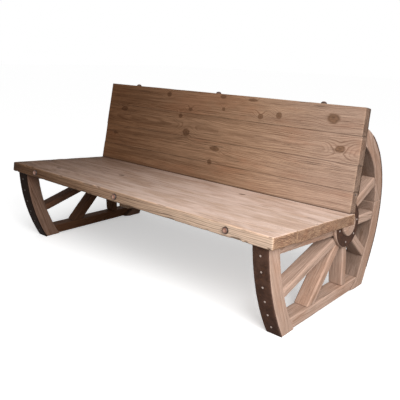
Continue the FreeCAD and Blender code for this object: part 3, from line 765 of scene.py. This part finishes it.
def neighbour_mean(points, edges):
    """Mean of each point's neighbours along the edges."""
    total = np.zeros_like(points)
    count = np.zeros(len(points))
    for first, second in ((edges[:, 0], edges[:, 1]), (edges[:, 1], edges[:, 0])):
        for axis in range(3):
            total[:, axis] += np.bincount(first, points[second, axis], len(points))
        count += np.bincount(first, minlength=len(points))
    return total / np.maximum(count, 1)[:, None]


def main_axis(points):
    """Direction in which the points reach furthest."""
    centred = points - points.mean(0)
    return np.linalg.eigh(centred.T @ centred)[1][:, -1]


def plain_mesh(name, holder, spent):
    """The holder's mesh with its modifier applied; the holder and its spent mesh are thrown away."""
    bpy.context.scene.collection.objects.link(holder)
    graph = bpy.context.evaluated_depsgraph_get()
    mesh = bpy.data.meshes.new_from_object(holder.evaluated_get(graph))
    bpy.data.objects.remove(holder)
    bpy.data.meshes.remove(spent)
    mesh.name = name
    return mesh


def worn_timber(node, slot, seed, voxel=None, passes=None, axis=None, tone=0.0, uneven=0.0006, inside_shade=None,
                shape=None):
    """A wheel timber made from the solid's own shape: fine mesh, edges rubbed round, uneven faces."""
    look = bpy.context.scene.bench_wood
    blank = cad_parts[node].data.copy()
    weld(blank, outwards=False)
    holder = bpy.data.objects.new(node + "_blank", blank)
    remesh = holder.modifiers.new("fine", "REMESH")
    remesh.mode = "VOXEL"
    remesh.voxel_size = voxel or look.timber_voxel
    mesh = plain_mesh(node + "_worn", holder, blank)
    before = points = triples(mesh.vertices, "co")
    edges = np.zeros(len(mesh.edges) * 2, np.int32)
    mesh.edges.foreach_get("vertices", edges)
    facing = triples(mesh.vertex_normals, "vector")
    for _ in range(passes or look.timber_wear):
        points = points * 0.45 + neighbour_mean(points, edges.reshape(-1, 2)) * 0.55
    rubbed = ((before - points) * facing).sum(1) / 0.0011
    put_points(mesh, points)
    facing = triples(mesh.vertex_normals, "vector")
    along = Vector(axis or main_axis(points)).normalized()
    aside = along.cross(Vector((0.31, 0.17, 0.93))).normalized()
    local = (points - points.mean(0)) @ np.array([along, aside, along.cross(aside)]).T
    push = wobble(local, (9, 26, 26), seed) + 0.6 * wobble(local, (40, 110, 110), seed + 5)
    points = points + facing * (push * uneven)[:, None]
    if shape:
        points = shape(points, facing)
    put_points(mesh, points)
    generator = random.Random(int(seed * 100))
    heart = 0.06 * np.array([generator.uniform(0.6, 1.2), generator.uniform(-0.5, 0.5)])
    # Painted shade: faces that look down and the hollows where timbers meet are darkened, and so are the
    # rims' insides
    painted_underside_shade = unit(-facing[:, 2] - 0.35)
    stain = np.maximum(unit(-rubbed) * 0.6, painted_underside_shade * 0.8)
    if inside_shade:
        stain = np.maximum(stain, inside_shade(points, facing))
    set_attributes(mesh, grain=local + (seed * 2.3, *heart), place=local, wear=unit(rubbed),
                   stain=unit(stain), tone=np.full(len(points), tone))
    mesh.materials.clear()
    return new_piece(mesh.name, mesh, slot, node)


def rim_inside_shade(points, facing):
    """Painted shade: the rims' insides, which face the wheel's middle, are darker than their outsides."""
    toward = np.array([0.0, 0.05, 0.42]) - points
    toward[:, 0] = 0
    toward /= np.maximum(np.linalg.norm(toward, axis=1), 1e-6)[:, None]
    cloudy = 0.75 + 0.35 * wobble(points, (14, 9, 9), 4.2)
    return unit((toward * facing).sum(1)) ** 2 * 0.7 * cloudy


class BENCH_OT_rims(bpy.types.Operator):
    """Makes the felloes, the curved timbers of both wheel ends."""
    bl_idname = "bench.rims"
    bl_label = "Rims"

    def execute(self, context):
        # Painted shade: the left end's wood is made darker by its tone, as it stands away from the light
        # under the seat
        for number, (side, _) in enumerate(SIDES):
            for name, seed, tone, inside_shade in (("front_felloe", 31.1, 0.0, None),
                                           ("rear_felloe_lower", 34.7, 0.04, rim_inside_shade),
                                           ("rear_felloe_upper", 37.9, 0.16, rim_inside_shade)):
                worn_timber("%s_%s" % (side, name), "wheel_wood", seed + number, tone=tone + 0.72 * number,
                            inside_shade=inside_shade)
        return {"FINISHED"}


class BENCH_OT_spokes(bpy.types.Operator):
    """Makes the six spokes of each wheel end."""
    bl_idname = "bench.spokes"
    bl_label = "Spokes"

    def execute(self, context):
        tones = (0.0, 0.05, 0.12, 0.1, 0.05, 0.05)
        for number, (side, _) in enumerate(SIDES):
            for place, (name, tone) in enumerate(zip(SPOKES, tones)):
                # The left end's extra tone is painted shade
                worn_timber("%s_%s" % (side, name), "wheel_wood", 41.3 + number * 9 + place * 1.3,
                            tone=min(1.0, tone + 0.93 * number))
        return {"FINISHED"}


class BENCH_OT_rails(bpy.types.Operator):
    """Makes the base rails, the seat rails and the battens."""
    bl_idname = "bench.rails"
    bl_label = "Rails and battens"

    def execute(self, context):
        for number, (side, _) in enumerate(SIDES):
            # The left end's extra tones are painted shade
            worn_timber(side + "_base_rail", "wheel_wood", 61.2 + number, tone=1.0 * number)
            worn_timber(side + "_seat_rail", "wheel_wood", 63.5 + number, tone=0.15 + 0.8 * number)
            # The end battens stand in shade behind the back: their dark finish and tone are painted shade
            worn_timber(side + "_end_batten", "batten_wood", 65.9 + number, tone=0.95)
        for number, name in enumerate(("seat_middle_batten", "back_middle_batten")):
            worn_timber(name, "batten_wood", 71.4 + number)
        return {"FINISHED"}


def crack_in_hub(points, facing):
    """A drying crack that runs from the heart of the hub to its edge."""
    side = np.sign(points[:, 0].mean())
    across = (points[:, 2] - HUB_Z) - 0.35 * (points[:, 1] - HUB_Y)
    near = hump(across, 0.0022) * unit((HUB_Y - points[:, 1] + 0.012) / 0.01)
    points = points.copy()
    points[:, 0] -= side * near * unit(facing[:, 0] * side) * 0.004
    return points


class BENCH_OT_hubs(bpy.types.Operator):
    """Makes the hubs, their wooden flanges and the iron rings."""
    bl_idname = "bench.hubs"
    bl_label = "Hubs"

    def execute(self, context):
        for number, (side, _) in enumerate(SIDES):
            worn_timber(side + "_hub", "wheel_wood", 75.3 + number, voxel=0.002, passes=6, axis=(1, 0, 0),
                        tone=0.1, uneven=0.0004, shape=crack_in_hub)
            worn_timber(side + "_hub_flange", "wheel_wood", 77.8 + number, voxel=0.0025, passes=4,
                        axis=(0, 0.3, 0.95), tone=0.05)
            worn_timber(side + "_hub_ring", "dark_iron", 79.6 + number, voxel=0.0016, passes=3,
                        uneven=0.0003)
        return {"FINISHED"}


# ---------------------------------------------------------------- iron

class Nodes(Tree):
    """A Geometry Nodes tree with named inputs."""

    def __init__(self, name):
        super().__init__(bpy.data.node_groups.new(name, "GeometryNodeTree"))
        self.tree.is_modifier = True
        for way in ("INPUT", "OUTPUT"):
            self.tree.interface.new_socket("Geometry", in_out=way, socket_type="NodeSocketGeometry")
        self.into = self.tree.nodes.new("NodeGroupInput")
        self.out = self.tree.nodes.new("NodeGroupOutput")
        self.base = Shade(self, self.into.outputs["Geometry"])

    def named(self, name, value=None, kind="NodeSocketFloat"):
        socket = self.tree.interface.new_socket(name, in_out="INPUT", socket_type=kind)
        if value is not None:
            socket.default_value = value
        return Shade(self, self.into.outputs[name])

    def moved(self, geometry, **move):
        return self.node("GeometryNodeSetPosition", None, {"Geometry": geometry, **move})

    def dented(self, geometry, amount, scale, detail, roughness):
        """The geometry with its points pushed about by a smooth noise."""
        dents = self.node("ShaderNodeTexNoise", None,
                          {"Scale": scale, "Detail": detail, "Roughness": roughness}, 1)
        centred = self.vector_maths("SUBTRACT", dents, (0.5, 0.5, 0.5))
        pushed = self.node("ShaderNodeVectorMath", {"operation": "SCALE"}, {0: centred, "Scale": amount})
        return self.moved(geometry, Offset=pushed)

    def end(self, geometry, material):
        done = self.node("GeometryNodeSetMaterial", None, {"Geometry": geometry, "Material": material})
        self.plug(self.out.inputs[0], done)
        return self.tree


def run_nodes(name, base, tree, values):
    """Runs a tree on a base mesh and gives back a plain mesh."""
    holder = bpy.data.objects.new(name + "_base", base)
    modifier = holder.modifiers.new("made", "NODES")
    modifier.node_group = tree
    for item in tree.interface.items_tree:
        if item.item_type == "SOCKET" and item.in_out == "INPUT" and item.name in values:
            modifier[item.identifier] = values[item.name]
    return plain_mesh(name, holder, base)


def heads_tree(name, round_steps, rise_steps):
    """Domed heads with shanks, one at each point of the base mesh, turned to the point's own normal."""
    nodes = Nodes(name)
    radius = nodes.named("Radius", 0.005)
    height = nodes.named("Height", 0.003)
    shank = nodes.named("Shank radius", 0.002)
    reach = nodes.named("Shank length", 0.03)
    uneven = nodes.named("Uneven", 0.0002)
    seed = nodes.named("Seed", 0, "NodeSocketInt")
    material = nodes.named("Material", kind="NodeSocketMaterial")
    ball = nodes.node("GeometryNodeMeshUVSphere", None,
                      {"Segments": round_steps, "Rings": rise_steps * 2, "Radius": 1.0})
    x, y, z = nodes.parts(nodes.node("GeometryNodeInputPosition"))
    lifted = nodes.maths("MAXIMUM", z, 0.0)
    flat = nodes.node("ShaderNodeCombineXYZ", None, (x * radius, y * radius, lifted * height))
    # The head's height is kept as "wear": the domed finish paints its highlight and rim shade from it
    stored = nodes.node("GeometryNodeStoreNamedAttribute", {"data_type": "FLOAT", "domain": "POINT"},
                        {"Geometry": ball, "Name": "wear", "Value": lifted})
    pin = nodes.node("GeometryNodeMeshCylinder", {"fill_type": "TRIANGLE_FAN"},
                     {"Vertices": 12, "Radius": shank, "Depth": reach})
    drop = nodes.node("ShaderNodeCombineXYZ", None, (0.0, 0.0, reach * -0.5))
    pin = nodes.node("GeometryNodeTransform", None, {"Geometry": pin, "Translation": drop})
    head = nodes.node("GeometryNodeJoinGeometry", None, (pin,))
    nodes.plug(head.socket.node.inputs[0], nodes.moved(stored, Position=flat))
    facing = nodes.node("GeometryNodeInputNamedAttribute", {"data_type": "FLOAT_VECTOR"}, {"Name": "facing"})
    turned = nodes.node("FunctionNodeAlignRotationToVector", {"axis": "Z"}, {"Vector": facing})
    spin = nodes.node("FunctionNodeRandomValue", {"data_type": "FLOAT"}, {2: 0.0, 3: 6.28, "Seed": seed}, 1)
    spin = nodes.node("FunctionNodeAxisAngleToRotation", None, {"Axis": (0.0, 0.0, 1.0), "Angle": spin})
    both = nodes.node("FunctionNodeRotateRotation", {"rotation_space": "LOCAL"}, (turned, spin))
    placed = nodes.node("GeometryNodeInstanceOnPoints", None,
                        {"Points": nodes.base, "Instance": head, "Rotation": both})
    real = nodes.node("GeometryNodeRealizeInstances", None, (placed,))
    return nodes.end(nodes.dented(real, uneven, 260.0, 1.0, 0.5), material)


def heads(node, places, tree, slot, radius, height, shank, reach, uneven, seed, tone=0.0):
    """Heads and shanks at the given places, each a point and the way that its head faces."""
    base = bpy.data.meshes.new(node + "_points")
    base.from_pydata([tuple(point) for point, facing in places], [], [])
    set_attributes(base, facing=[tuple(facing) for point, facing in places])
    mesh = run_nodes(node + "_made", base, tree, {
        "Radius": radius, "Height": height, "Shank radius": shank, "Shank length": reach,
        "Uneven": uneven, "Seed": seed, "Material": FINISHES[slot]})
    set_attributes(mesh, tone=np.full(len(mesh.vertices), tone))
    return new_piece(node + "_made", mesh, slot, node)


def front_rim_point(angle, beyond=0.0):
    """A point of the front rim's outside, or beyond it, and the way out of the rim there."""
    out = Vector((0, -math.cos(angle), -math.sin(angle)))
    middle = Vector((0, SEAT_FRONT + FRONT_BEHIND + FRONT_RADIUS, FRONT_Z))
    return middle + out * (FRONT_RADIUS + beyond), out


def rear_rim_point(along, beyond=0.0):
    """The same of the rear rim; along counts upwards from its rearmost place."""
    radius = REAR_UPPER if along > 0 else REAR_LOWER
    out = Vector((0, math.cos(along / radius), math.sin(along / radius)))
    return Vector((0, SEAT_FRONT + REAR_REACH - radius, REAR_Z)) + out * (radius + beyond), out


class BENCH_OT_rivets(bpy.types.Operator):
    """Makes the rivets of the tyres."""
    bl_idname = "bench.rivets"
    bl_label = "Rivets"

    def execute(self, context):
        look = context.scene.bench_iron
        tree = heads_tree("Rivet heads", 20, 5)
        end = 0.040
        seat_under = SEAT_TOP - context.scene.bench_boards.seat_thickness
        front = evenly(math.asin((FRONT_Z - (seat_under - end)) / FRONT_RADIUS),
                       math.asin((FRONT_Z - end) / FRONT_RADIUS), 6)
        rear = evenly(REAR_UPPER * math.asin(REAR_RISE / REAR_UPPER) - end, -REAR_LOWER * REAR_KNEE, 9)
        for number, (side, sign) in enumerate(SIDES):
            for label, turns, finder, width in (("front", front, front_rim_point, look.front_width),
                                                ("rear", rear, rear_rim_point, look.rear_width)):
                aside = Vector((sign * (look.outboard - width / 2), 0, 0))
                places = [(point + aside, out) for point, out in map(finder, turns)]
                heads("%s_%s_tyre_rivets" % (side, label), places, tree, "bright_steel", look.rivet_radius,
                      look.rivet_height, 0.003, 0.034, 0.0006, number * 2 + len(label), LEFT_IRON_SHADE * number)
        return {"FINISHED"}


class BENCH_OT_screws(bpy.types.Operator):
    """Makes the screws of the hub rings, the seat and the back."""
    bl_idname = "bench.screws"
    bl_label = "Screws"

    def execute(self, context):
        look = context.scene.bench_iron
        sizes = context.scene.bench_boards
        tree = heads_tree("Screw heads", 20, 5)

        def fix(node, places, reach, seed, tone=0.0):
            heads(node, places, tree, "bright_steel", look.screw_radius, look.screw_height, 0.0025, reach,
                  0.0004, seed, tone)

        for side, sign in SIDES:
            places = []
            for turn in (math.radians(degrees) for degrees in (-169, -101, -44, 3)):
                places.append((Vector((sign * HUB_SCREWS_X, HUB_Y + HUB_SCREWS_RADIUS * math.cos(turn),
                                       HUB_Z + HUB_SCREWS_RADIUS * math.sin(turn))), Vector((sign, 0, 0))))
            fix(side + "_hub_screws", places, 0.042, 3 + sign)

        seat = seat_place()
        down = seat.to_3x3() @ Vector((0, 0, -1))
        wide = sizes.seat_depth / sizes.seat_boards
        places = []
        for number, share in enumerate((0.75, 0.5, 0.5, 0.2)):
            for x, across, depth in ((-SCREWS_X, share, 0.040), (0, 0.5, 0.034), (SCREWS_X, share, 0.040)):
                point = Vector((x, (number + across) * wide, -sizes.seat_thickness - depth))
                places.append((seat @ point, down))
        fix("seat_screws", places, 0.066, 9)

        back = back_place()
        rearwards = back.to_3x3() @ Vector((0, 1, 0))
        places = []
        foot = 0.0
        for number, (part, share) in enumerate(zip(BACK_SHARES, (0.75, 0.5, 0.5, 0.5))):
            height = foot + sizes.back_height * part * share
            for x, depth in ((-SCREWS_X, 0.070), (0, 0.026), (SCREWS_X, 0.070)):
                # The uprights behind the ends only reach the two middle boards
                if x == 0 or number in (1, 2):
                    places.append((back @ Vector((x, sizes.back_thickness + depth, height)), rearwards))
            foot += sizes.back_height * part
        fix("back_screws", places, 0.056, 12)

        height = sizes.back_height * BACK_SHARES[0] * 0.88
        places = [(back @ Vector((side * sizes.back_length / 2, sizes.back_thickness / 2, height)),
                   Vector((side, 0, 0))) for side in (-1, 1)]
        fix("back_end_screws", places, 0.040, 15, 0.75)
        return {"FINISHED"}


class BENCH_OT_dome_nails(bpy.types.Operator):
    """Makes the domed nails in the seat's front edge and on top of the back."""
    bl_idname = "bench.dome_nails"
    bl_label = "Domed nails"

    def execute(self, context):
        look = context.scene.bench_iron
        sizes = context.scene.bench_boards
        tree = heads_tree("Domed heads", 36, 10)
        for node, frame_of, spread, at, facing, seed in (
                ("seat_clavos", seat_place(), 0.66, (0, -sizes.seat_thickness / 2), (0, -1, 0), 4),
                ("back_clavos", back_place(), 0.647, (sizes.back_thickness / 2, sizes.back_height),
                 (0, 0, 1), 6)):
            way = frame_of.to_3x3() @ Vector(facing)
            places = [(frame_of @ Vector((x, *at)), way) for x in (-spread, 0, spread)]
            heads(node, places, tree, "rusty_iron", look.dome_radius, look.dome_height, 0.004, 0.050, 0.0012,
                  seed)
        return {"FINISHED"}


def band_tree():
    """An iron band: a rounded flat section swept along the base mesh, cut level at both its ends."""
    nodes = Nodes("Tyre band")
    width = nodes.named("Width", 0.077)
    thick = nodes.named("Thickness", 0.006)
    rounding = nodes.named("Rounding", 0.001)
    low = nodes.named("Lower end", 0.0)
    high = nodes.named("Upper end", 0.4)
    fall = nodes.named("Fall of upper end", 0.0)
    start = nodes.named("Fall counts from", 0.0)
    uneven = nodes.named("Uneven", 0.0008)
    material = nodes.named("Material", kind="NodeSocketMaterial")
    line = nodes.node("GeometryNodeMeshToCurve", None, (nodes.base,))
    flat = nodes.node("GeometryNodeCurvePrimitiveQuadrilateral", None, {"Width": width, "Height": thick})
    eased = nodes.node("GeometryNodeFilletCurve", {"mode": "POLY"},
                       {"Curve": flat, "Count": 2, "Radius": rounding})
    section = nodes.node("GeometryNodeSubdivideCurve", None, {"Curve": eased, "Cuts": 7})
    swept = nodes.node("GeometryNodeCurveToMesh", None,
                       {"Curve": line, "Profile Curve": section, "Fill Caps": True})
    swept = nodes.dented(swept, uneven, 34.0, 3.0, 0.55)
    x, y, z = nodes.parts(nodes.node("GeometryNodeInputPosition"))
    level = nodes.maths("MINIMUM", nodes.maths("MAXIMUM", z, low), high - (y - start) * fall)
    cut = nodes.node("ShaderNodeCombineXYZ", None, (x, y, level))
    real = nodes.node("GeometryNodeRealizeInstances", None, (nodes.moved(swept, Position=cut),))
    return nodes.end(real, material)


def tyre(node, line, tree, width, low, high, fall, seed, tone):
    """A tyre along the given places of its middle, counted in the bench's frame."""
    look = bpy.context.scene.bench_iron
    base = bpy.data.meshes.new(node + "_line")
    base.from_pydata([tuple(point) for point in line], [(number, number + 1)
                                                        for number in range(len(line) - 1)], [])
    mesh = run_nodes(node + "_made", base, tree, {
        "Width": width, "Thickness": look.tyre_thickness, "Rounding": 0.0012, "Lower end": low,
        "Upper end": high, "Fall of upper end": fall, "Fall counts from": SEAT_FRONT,
        "Uneven": 0.0016, "Material": FINISHES["dark_iron"]})
    points = triples(mesh.vertices, "co")
    side = np.abs(points[:, 0] - points[:, 0].mean())
    rough = wobble(points, (60, 60, 60), seed)
    set_attributes(mesh, wear=unit(1 - (side.max() - side) / 0.0025 + 0.5 * rough),
                   tone=np.full(len(points), tone))
    weld(mesh, 0.00001)
    return new_piece(node + "_made", mesh, "dark_iron", node)


class BENCH_OT_tyres(bpy.types.Operator):
    """Makes the iron tyres of both rims."""
    bl_idname = "bench.tyres"
    bl_label = "Tyres"

    def execute(self, context):
        look = context.scene.bench_iron
        boards = context.scene.bench_boards
        tree = band_tree()
        thick = look.tyre_thickness
        half = thick / 2
        seat_under = seat_place() @ Vector((0, 0, -boards.seat_thickness))
        slope = math.tan(boards.seat_tilt)
        under_front = seat_under.z - (SEAT_FRONT - seat_under.y) * slope
        # The line runs until the band's inner face reaches the level where it is cut
        front = [front_rim_point(turn, -half)[0]
                 for turn in evenly(math.asin((FRONT_Z - under_front) / FRONT_RADIUS) - 0.004,
                                    math.asin(FRONT_Z / (FRONT_RADIUS - thick)), 150)]
        rear = [rear_rim_point(REAR_UPPER * turn, -half)[0]
                for turn in evenly(math.asin(REAR_RISE / (REAR_UPPER - thick)), 0.008, 88)]
        rear += [rear_rim_point(-REAR_LOWER * turn, -half)[0] for turn in evenly(0, REAR_KNEE, 78)]
        last = rear[-1]
        run = (last.z - REAR_FOOT + half * math.sin(REAR_KNEE)) / math.cos(REAR_KNEE)
        down = Vector((0, -math.sin(REAR_KNEE), -math.cos(REAR_KNEE)))
        rear += [last + down * (run * step / 17) for step in range(1, 18)]
        for number, (side, sign) in enumerate(SIDES):
            for label, line, width, ends in (
                    ("front", front, look.front_width, (0.0, under_front, slope)),
                    ("rear", rear, look.rear_width, (REAR_FOOT, REAR_Z + REAR_RISE, 0.0))):
                aside = Vector((sign * (look.outboard - width / 2), 0, 0))
                tyre("%s_%s_tyre" % (side, label), [point + aside for point in line], tree, width, *ends,
                     81.7 + number, LEFT_IRON_SHADE * number)
            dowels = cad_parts[side + "_rim_dowels"]
            dowels.data.materials.clear()
            dowels.data.materials.append(FINISHES["dowel_wood"])
        return {"FINISHED"}


# ---------------------------------------------------------------- finishes and stage

class BENCH_OT_finishes(bpy.types.Operator):
    """Makes the finishes of wood, iron and steel."""
    bl_idname = "bench.finishes"
    bl_label = "Finishes"

    def execute(self, context):
        wood = context.scene.bench_wood
        iron = context.scene.bench_iron
        seat, back, wheel = ((tuple(getattr(wood, part + "_pale")), tuple(getattr(wood, part + "_dark")))
                             for part in ("seat", "back", "wheel"))
        # Knots: the place along the boards, the height up their slope, half length and half height
        back_knots = ((-0.348, 0.450, 0.014, 0.013), (0.055, 0.468, 0.018, 0.010),
                      (0.254, 0.464, 0.022, 0.007), (-0.167, 0.378, 0.012, 0.009),
                      (0.070, 0.400, 0.009, 0.009), (0.314, 0.385, 0.012, 0.012),
                      (0.424, 0.402, 0.013, 0.015), (0.721, 0.419, 0.026, 0.021),
                      (-0.721, 0.331, 0.022, 0.012), (-0.236, 0.334, 0.011, 0.012),
                      (-0.174, 0.245, 0.020, 0.019), (0.776, 0.281, 0.020, 0.016),
                      (0.047, 0.182, 0.024, 0.012), (0.025, 0.104, 0.012, 0.014),
                      (-0.774, 0.172, 0.018, 0.006))
        seat_knots = ((-0.3, 0.30, 0.016, 0.010), (0.35, 0.52, 0.015, 0.010), (-0.62, 0.12, 0.014, 0.009))
        FINISHES.update(
            seat_wood=wood_finish(
                "bleached seat boards", *seat, ring=0.0058, contrast=1.0, knots=seat_knots,
                bleach=(0.85, (0.82, 0.635, 0.55)), painted_left_shade=(-0.95, 0.64, 1.0, (0.23, 0.18, 0.14)),
                end_shade=(0.58, 0.54, 0.55), front_painted_light=0.27),
            back_wood=wood_finish(
                "oiled back boards", *back, ring=0.006, contrast=0.95, rub=0.35, knots=back_knots,
                painted_left_shade=(-0.95, 0.75, 1.0, (0.36, 0.27, 0.20)), end_shade=(0.53, 0.52, 0.52),
                pale_end=(0.94, 1.02, 1.2)),
            wheel_wood=wood_finish("worn wheel timber", *wheel, ring=0.0052, contrast=0.75, rub=0.38),
            # The batten timber is the back's wood at half brightness: painted shade
            batten_wood=wood_finish("batten timber", toned(back[0], 0.5), toned(back[1], 0.5), ring=0.005,
                                    contrast=0.6),
            dowel_wood=wood_finish("dowel wood", *wheel, ring=0.004, contrast=0.5),
            dark_iron=iron_finish("old tyre iron", tuple(iron.tyre), (0.13, 0.06, 0.033), 0.06),
            rusty_iron=domed_finish("rusty dome", tuple(iron.copper)),
            bright_steel=bright_finish("worn bright heads", tuple(iron.bright)))
        return {"FINISHED"}


class BENCH_OT_stage(bpy.types.Operator):
    """Makes the pale floor, the soft light and the camera."""
    bl_idname = "bench.stage"
    bl_label = "Stage"

    def execute(self, context):
        studio = context.scene.bench_studio
        scene = context.scene

        def stand(name, data):
            made = bpy.data.objects.new(name, data)
            scene.collection.objects.link(made)
            return made

        # The sky lights evenly, and is white where it is seen
        world = bpy.data.worlds.new("white studio")
        scene.world = world
        world.use_nodes = True
        world.node_tree.nodes.clear()
        sky = Tree(world.node_tree)
        plain, seen = (sky.node("ShaderNodeBackground", None, ((1, 1, 1), strength))
                       for strength in (studio.sky, 1.0))
        mixed = sky.node("ShaderNodeMixShader", None, (sky.seen_rays(), plain, seen))
        sky.node("ShaderNodeOutputWorld", None, (mixed,))

        sun = bpy.data.lights.new("soft lamp", "SUN")
        sun.energy = studio.sun
        sun.angle = studio.softness
        toward_lamp = Vector((0.50, -0.52, 0.80))
        stand("soft lamp", sun).rotation_euler = toward_lamp.to_track_quat("Z", "Y").to_euler()
        side = bpy.data.lights.new("side lamp", "AREA")
        side.energy = studio.side
        side.size = 1.4
        lamp = stand("side lamp", side)
        lamp.location = (2.4, -1.5, 1.5)
        lamp.rotation_euler = (lamp.location - Vector((0.35, -0.1, 0.5))).to_track_quat("Z", "Y").to_euler()

        # The floor takes the bench's shadow; where it is seen unshaded it is lifted to white
        half = studio.floor_size / 2
        mesh = bpy.data.meshes.new("floor")
        mesh.from_pydata([(-half, -half, 0), (half, -half, 0), (half, half, 0), (-half, half, 0)], [],
                         [(0, 1, 2, 3)])
        floor = stand("floor", mesh)
        pale = Finish("pale floor", specular=0.0)
        pale.shader.inputs["Roughness"].default_value = 0.9
        seen = pale.seen_rays()
        pale.plug(pale.shader.inputs["Base Color"], pale.mix(seen, (studio.bounce,) * 3, (0.92,) * 3))
        dark, glow = (pale.node("ShaderNodeEmission", None, ((1.0, 1.0, 1.0), strength))
                      for strength in (0.0, studio.floor_lift))
        lift = pale.node("ShaderNodeMixShader", None, (seen, dark, glow))
        shader = Shade(pale, pale.shader.outputs[0])
        pale.plug(pale.output.inputs[0], pale.node("ShaderNodeAddShader", None, (shader, lift)))
        mesh.materials.append(pale.material)

        camera = bpy.data.cameras.new("camera")
        camera.lens = studio.lens
        camera.sensor_width = 36
        camera.sensor_fit = "HORIZONTAL"
        camera.shift_y = studio.shift
        camera.clip_end = 200
        yaw, pitch, roll = map(math.radians, CAMERA_TURNS)
        ahead = Vector((-math.sin(yaw) * math.cos(pitch), math.cos(yaw) * math.cos(pitch), math.sin(pitch)))
        right = Vector((math.cos(yaw), math.sin(yaw), 0))
        above = right.cross(ahead)
        right, above = (right * math.cos(roll) + above * math.sin(roll),
                        above * math.cos(roll) - right * math.sin(roll))
        turn = Matrix((right, above, -ahead)).transposed()
        scene.camera = stand("camera", camera)
        scene.camera.matrix_world = Matrix.Translation(CAMERA_PLACE) @ turn.to_4x4()
        scene.view_settings.view_transform = "Standard"
        return {"FINISHED"}


class BENCH_PT_panel(bpy.types.Panel):
    """Lists the bench's pieces and their sizes."""
    bl_label = "Bench"
    bl_idname = "BENCH_PT_panel"
    bl_space_type = "VIEW_3D"
    bl_region_type = "UI"
    bl_category = "Bench"

    def draw(self, context):
        for step in STEPS:
            self.layout.operator(step.bl_idname)
        for group, _ in GROUPS:
            held = getattr(context.scene, group)
            for name in held.__annotations__:
                self.layout.prop(held, name)


GROUPS = (("bench_boards", BoardSizes), ("bench_wood", WoodLook), ("bench_iron", IronLook),
          ("bench_studio", StudioLook))
STEPS = (BENCH_OT_finishes, BENCH_OT_seat_boards, BENCH_OT_back_boards, BENCH_OT_rims, BENCH_OT_spokes,
         BENCH_OT_rails, BENCH_OT_hubs, BENCH_OT_tyres, BENCH_OT_rivets, BENCH_OT_screws,
         BENCH_OT_dome_nails, BENCH_OT_stage)


def register():
    for name, group in GROUPS:
        bpy.utils.register_class(group)
        setattr(bpy.types.Scene, name, PointerProperty(type=group))
    for step in STEPS:
        bpy.utils.register_class(step)
    bpy.utils.register_class(BENCH_PT_panel)


def unregister():
    bpy.utils.unregister_class(BENCH_PT_panel)
    for step in reversed(STEPS):
        bpy.utils.unregister_class(step)
    for name, group in reversed(GROUPS):
        delattr(bpy.types.Scene, name)
        bpy.utils.unregister_class(group)


def main():
    register()
    for step in STEPS:
        area, name = step.bl_idname.split(".")
        getattr(getattr(bpy.ops, area), name)()


if __name__ == "__main__":
    main()
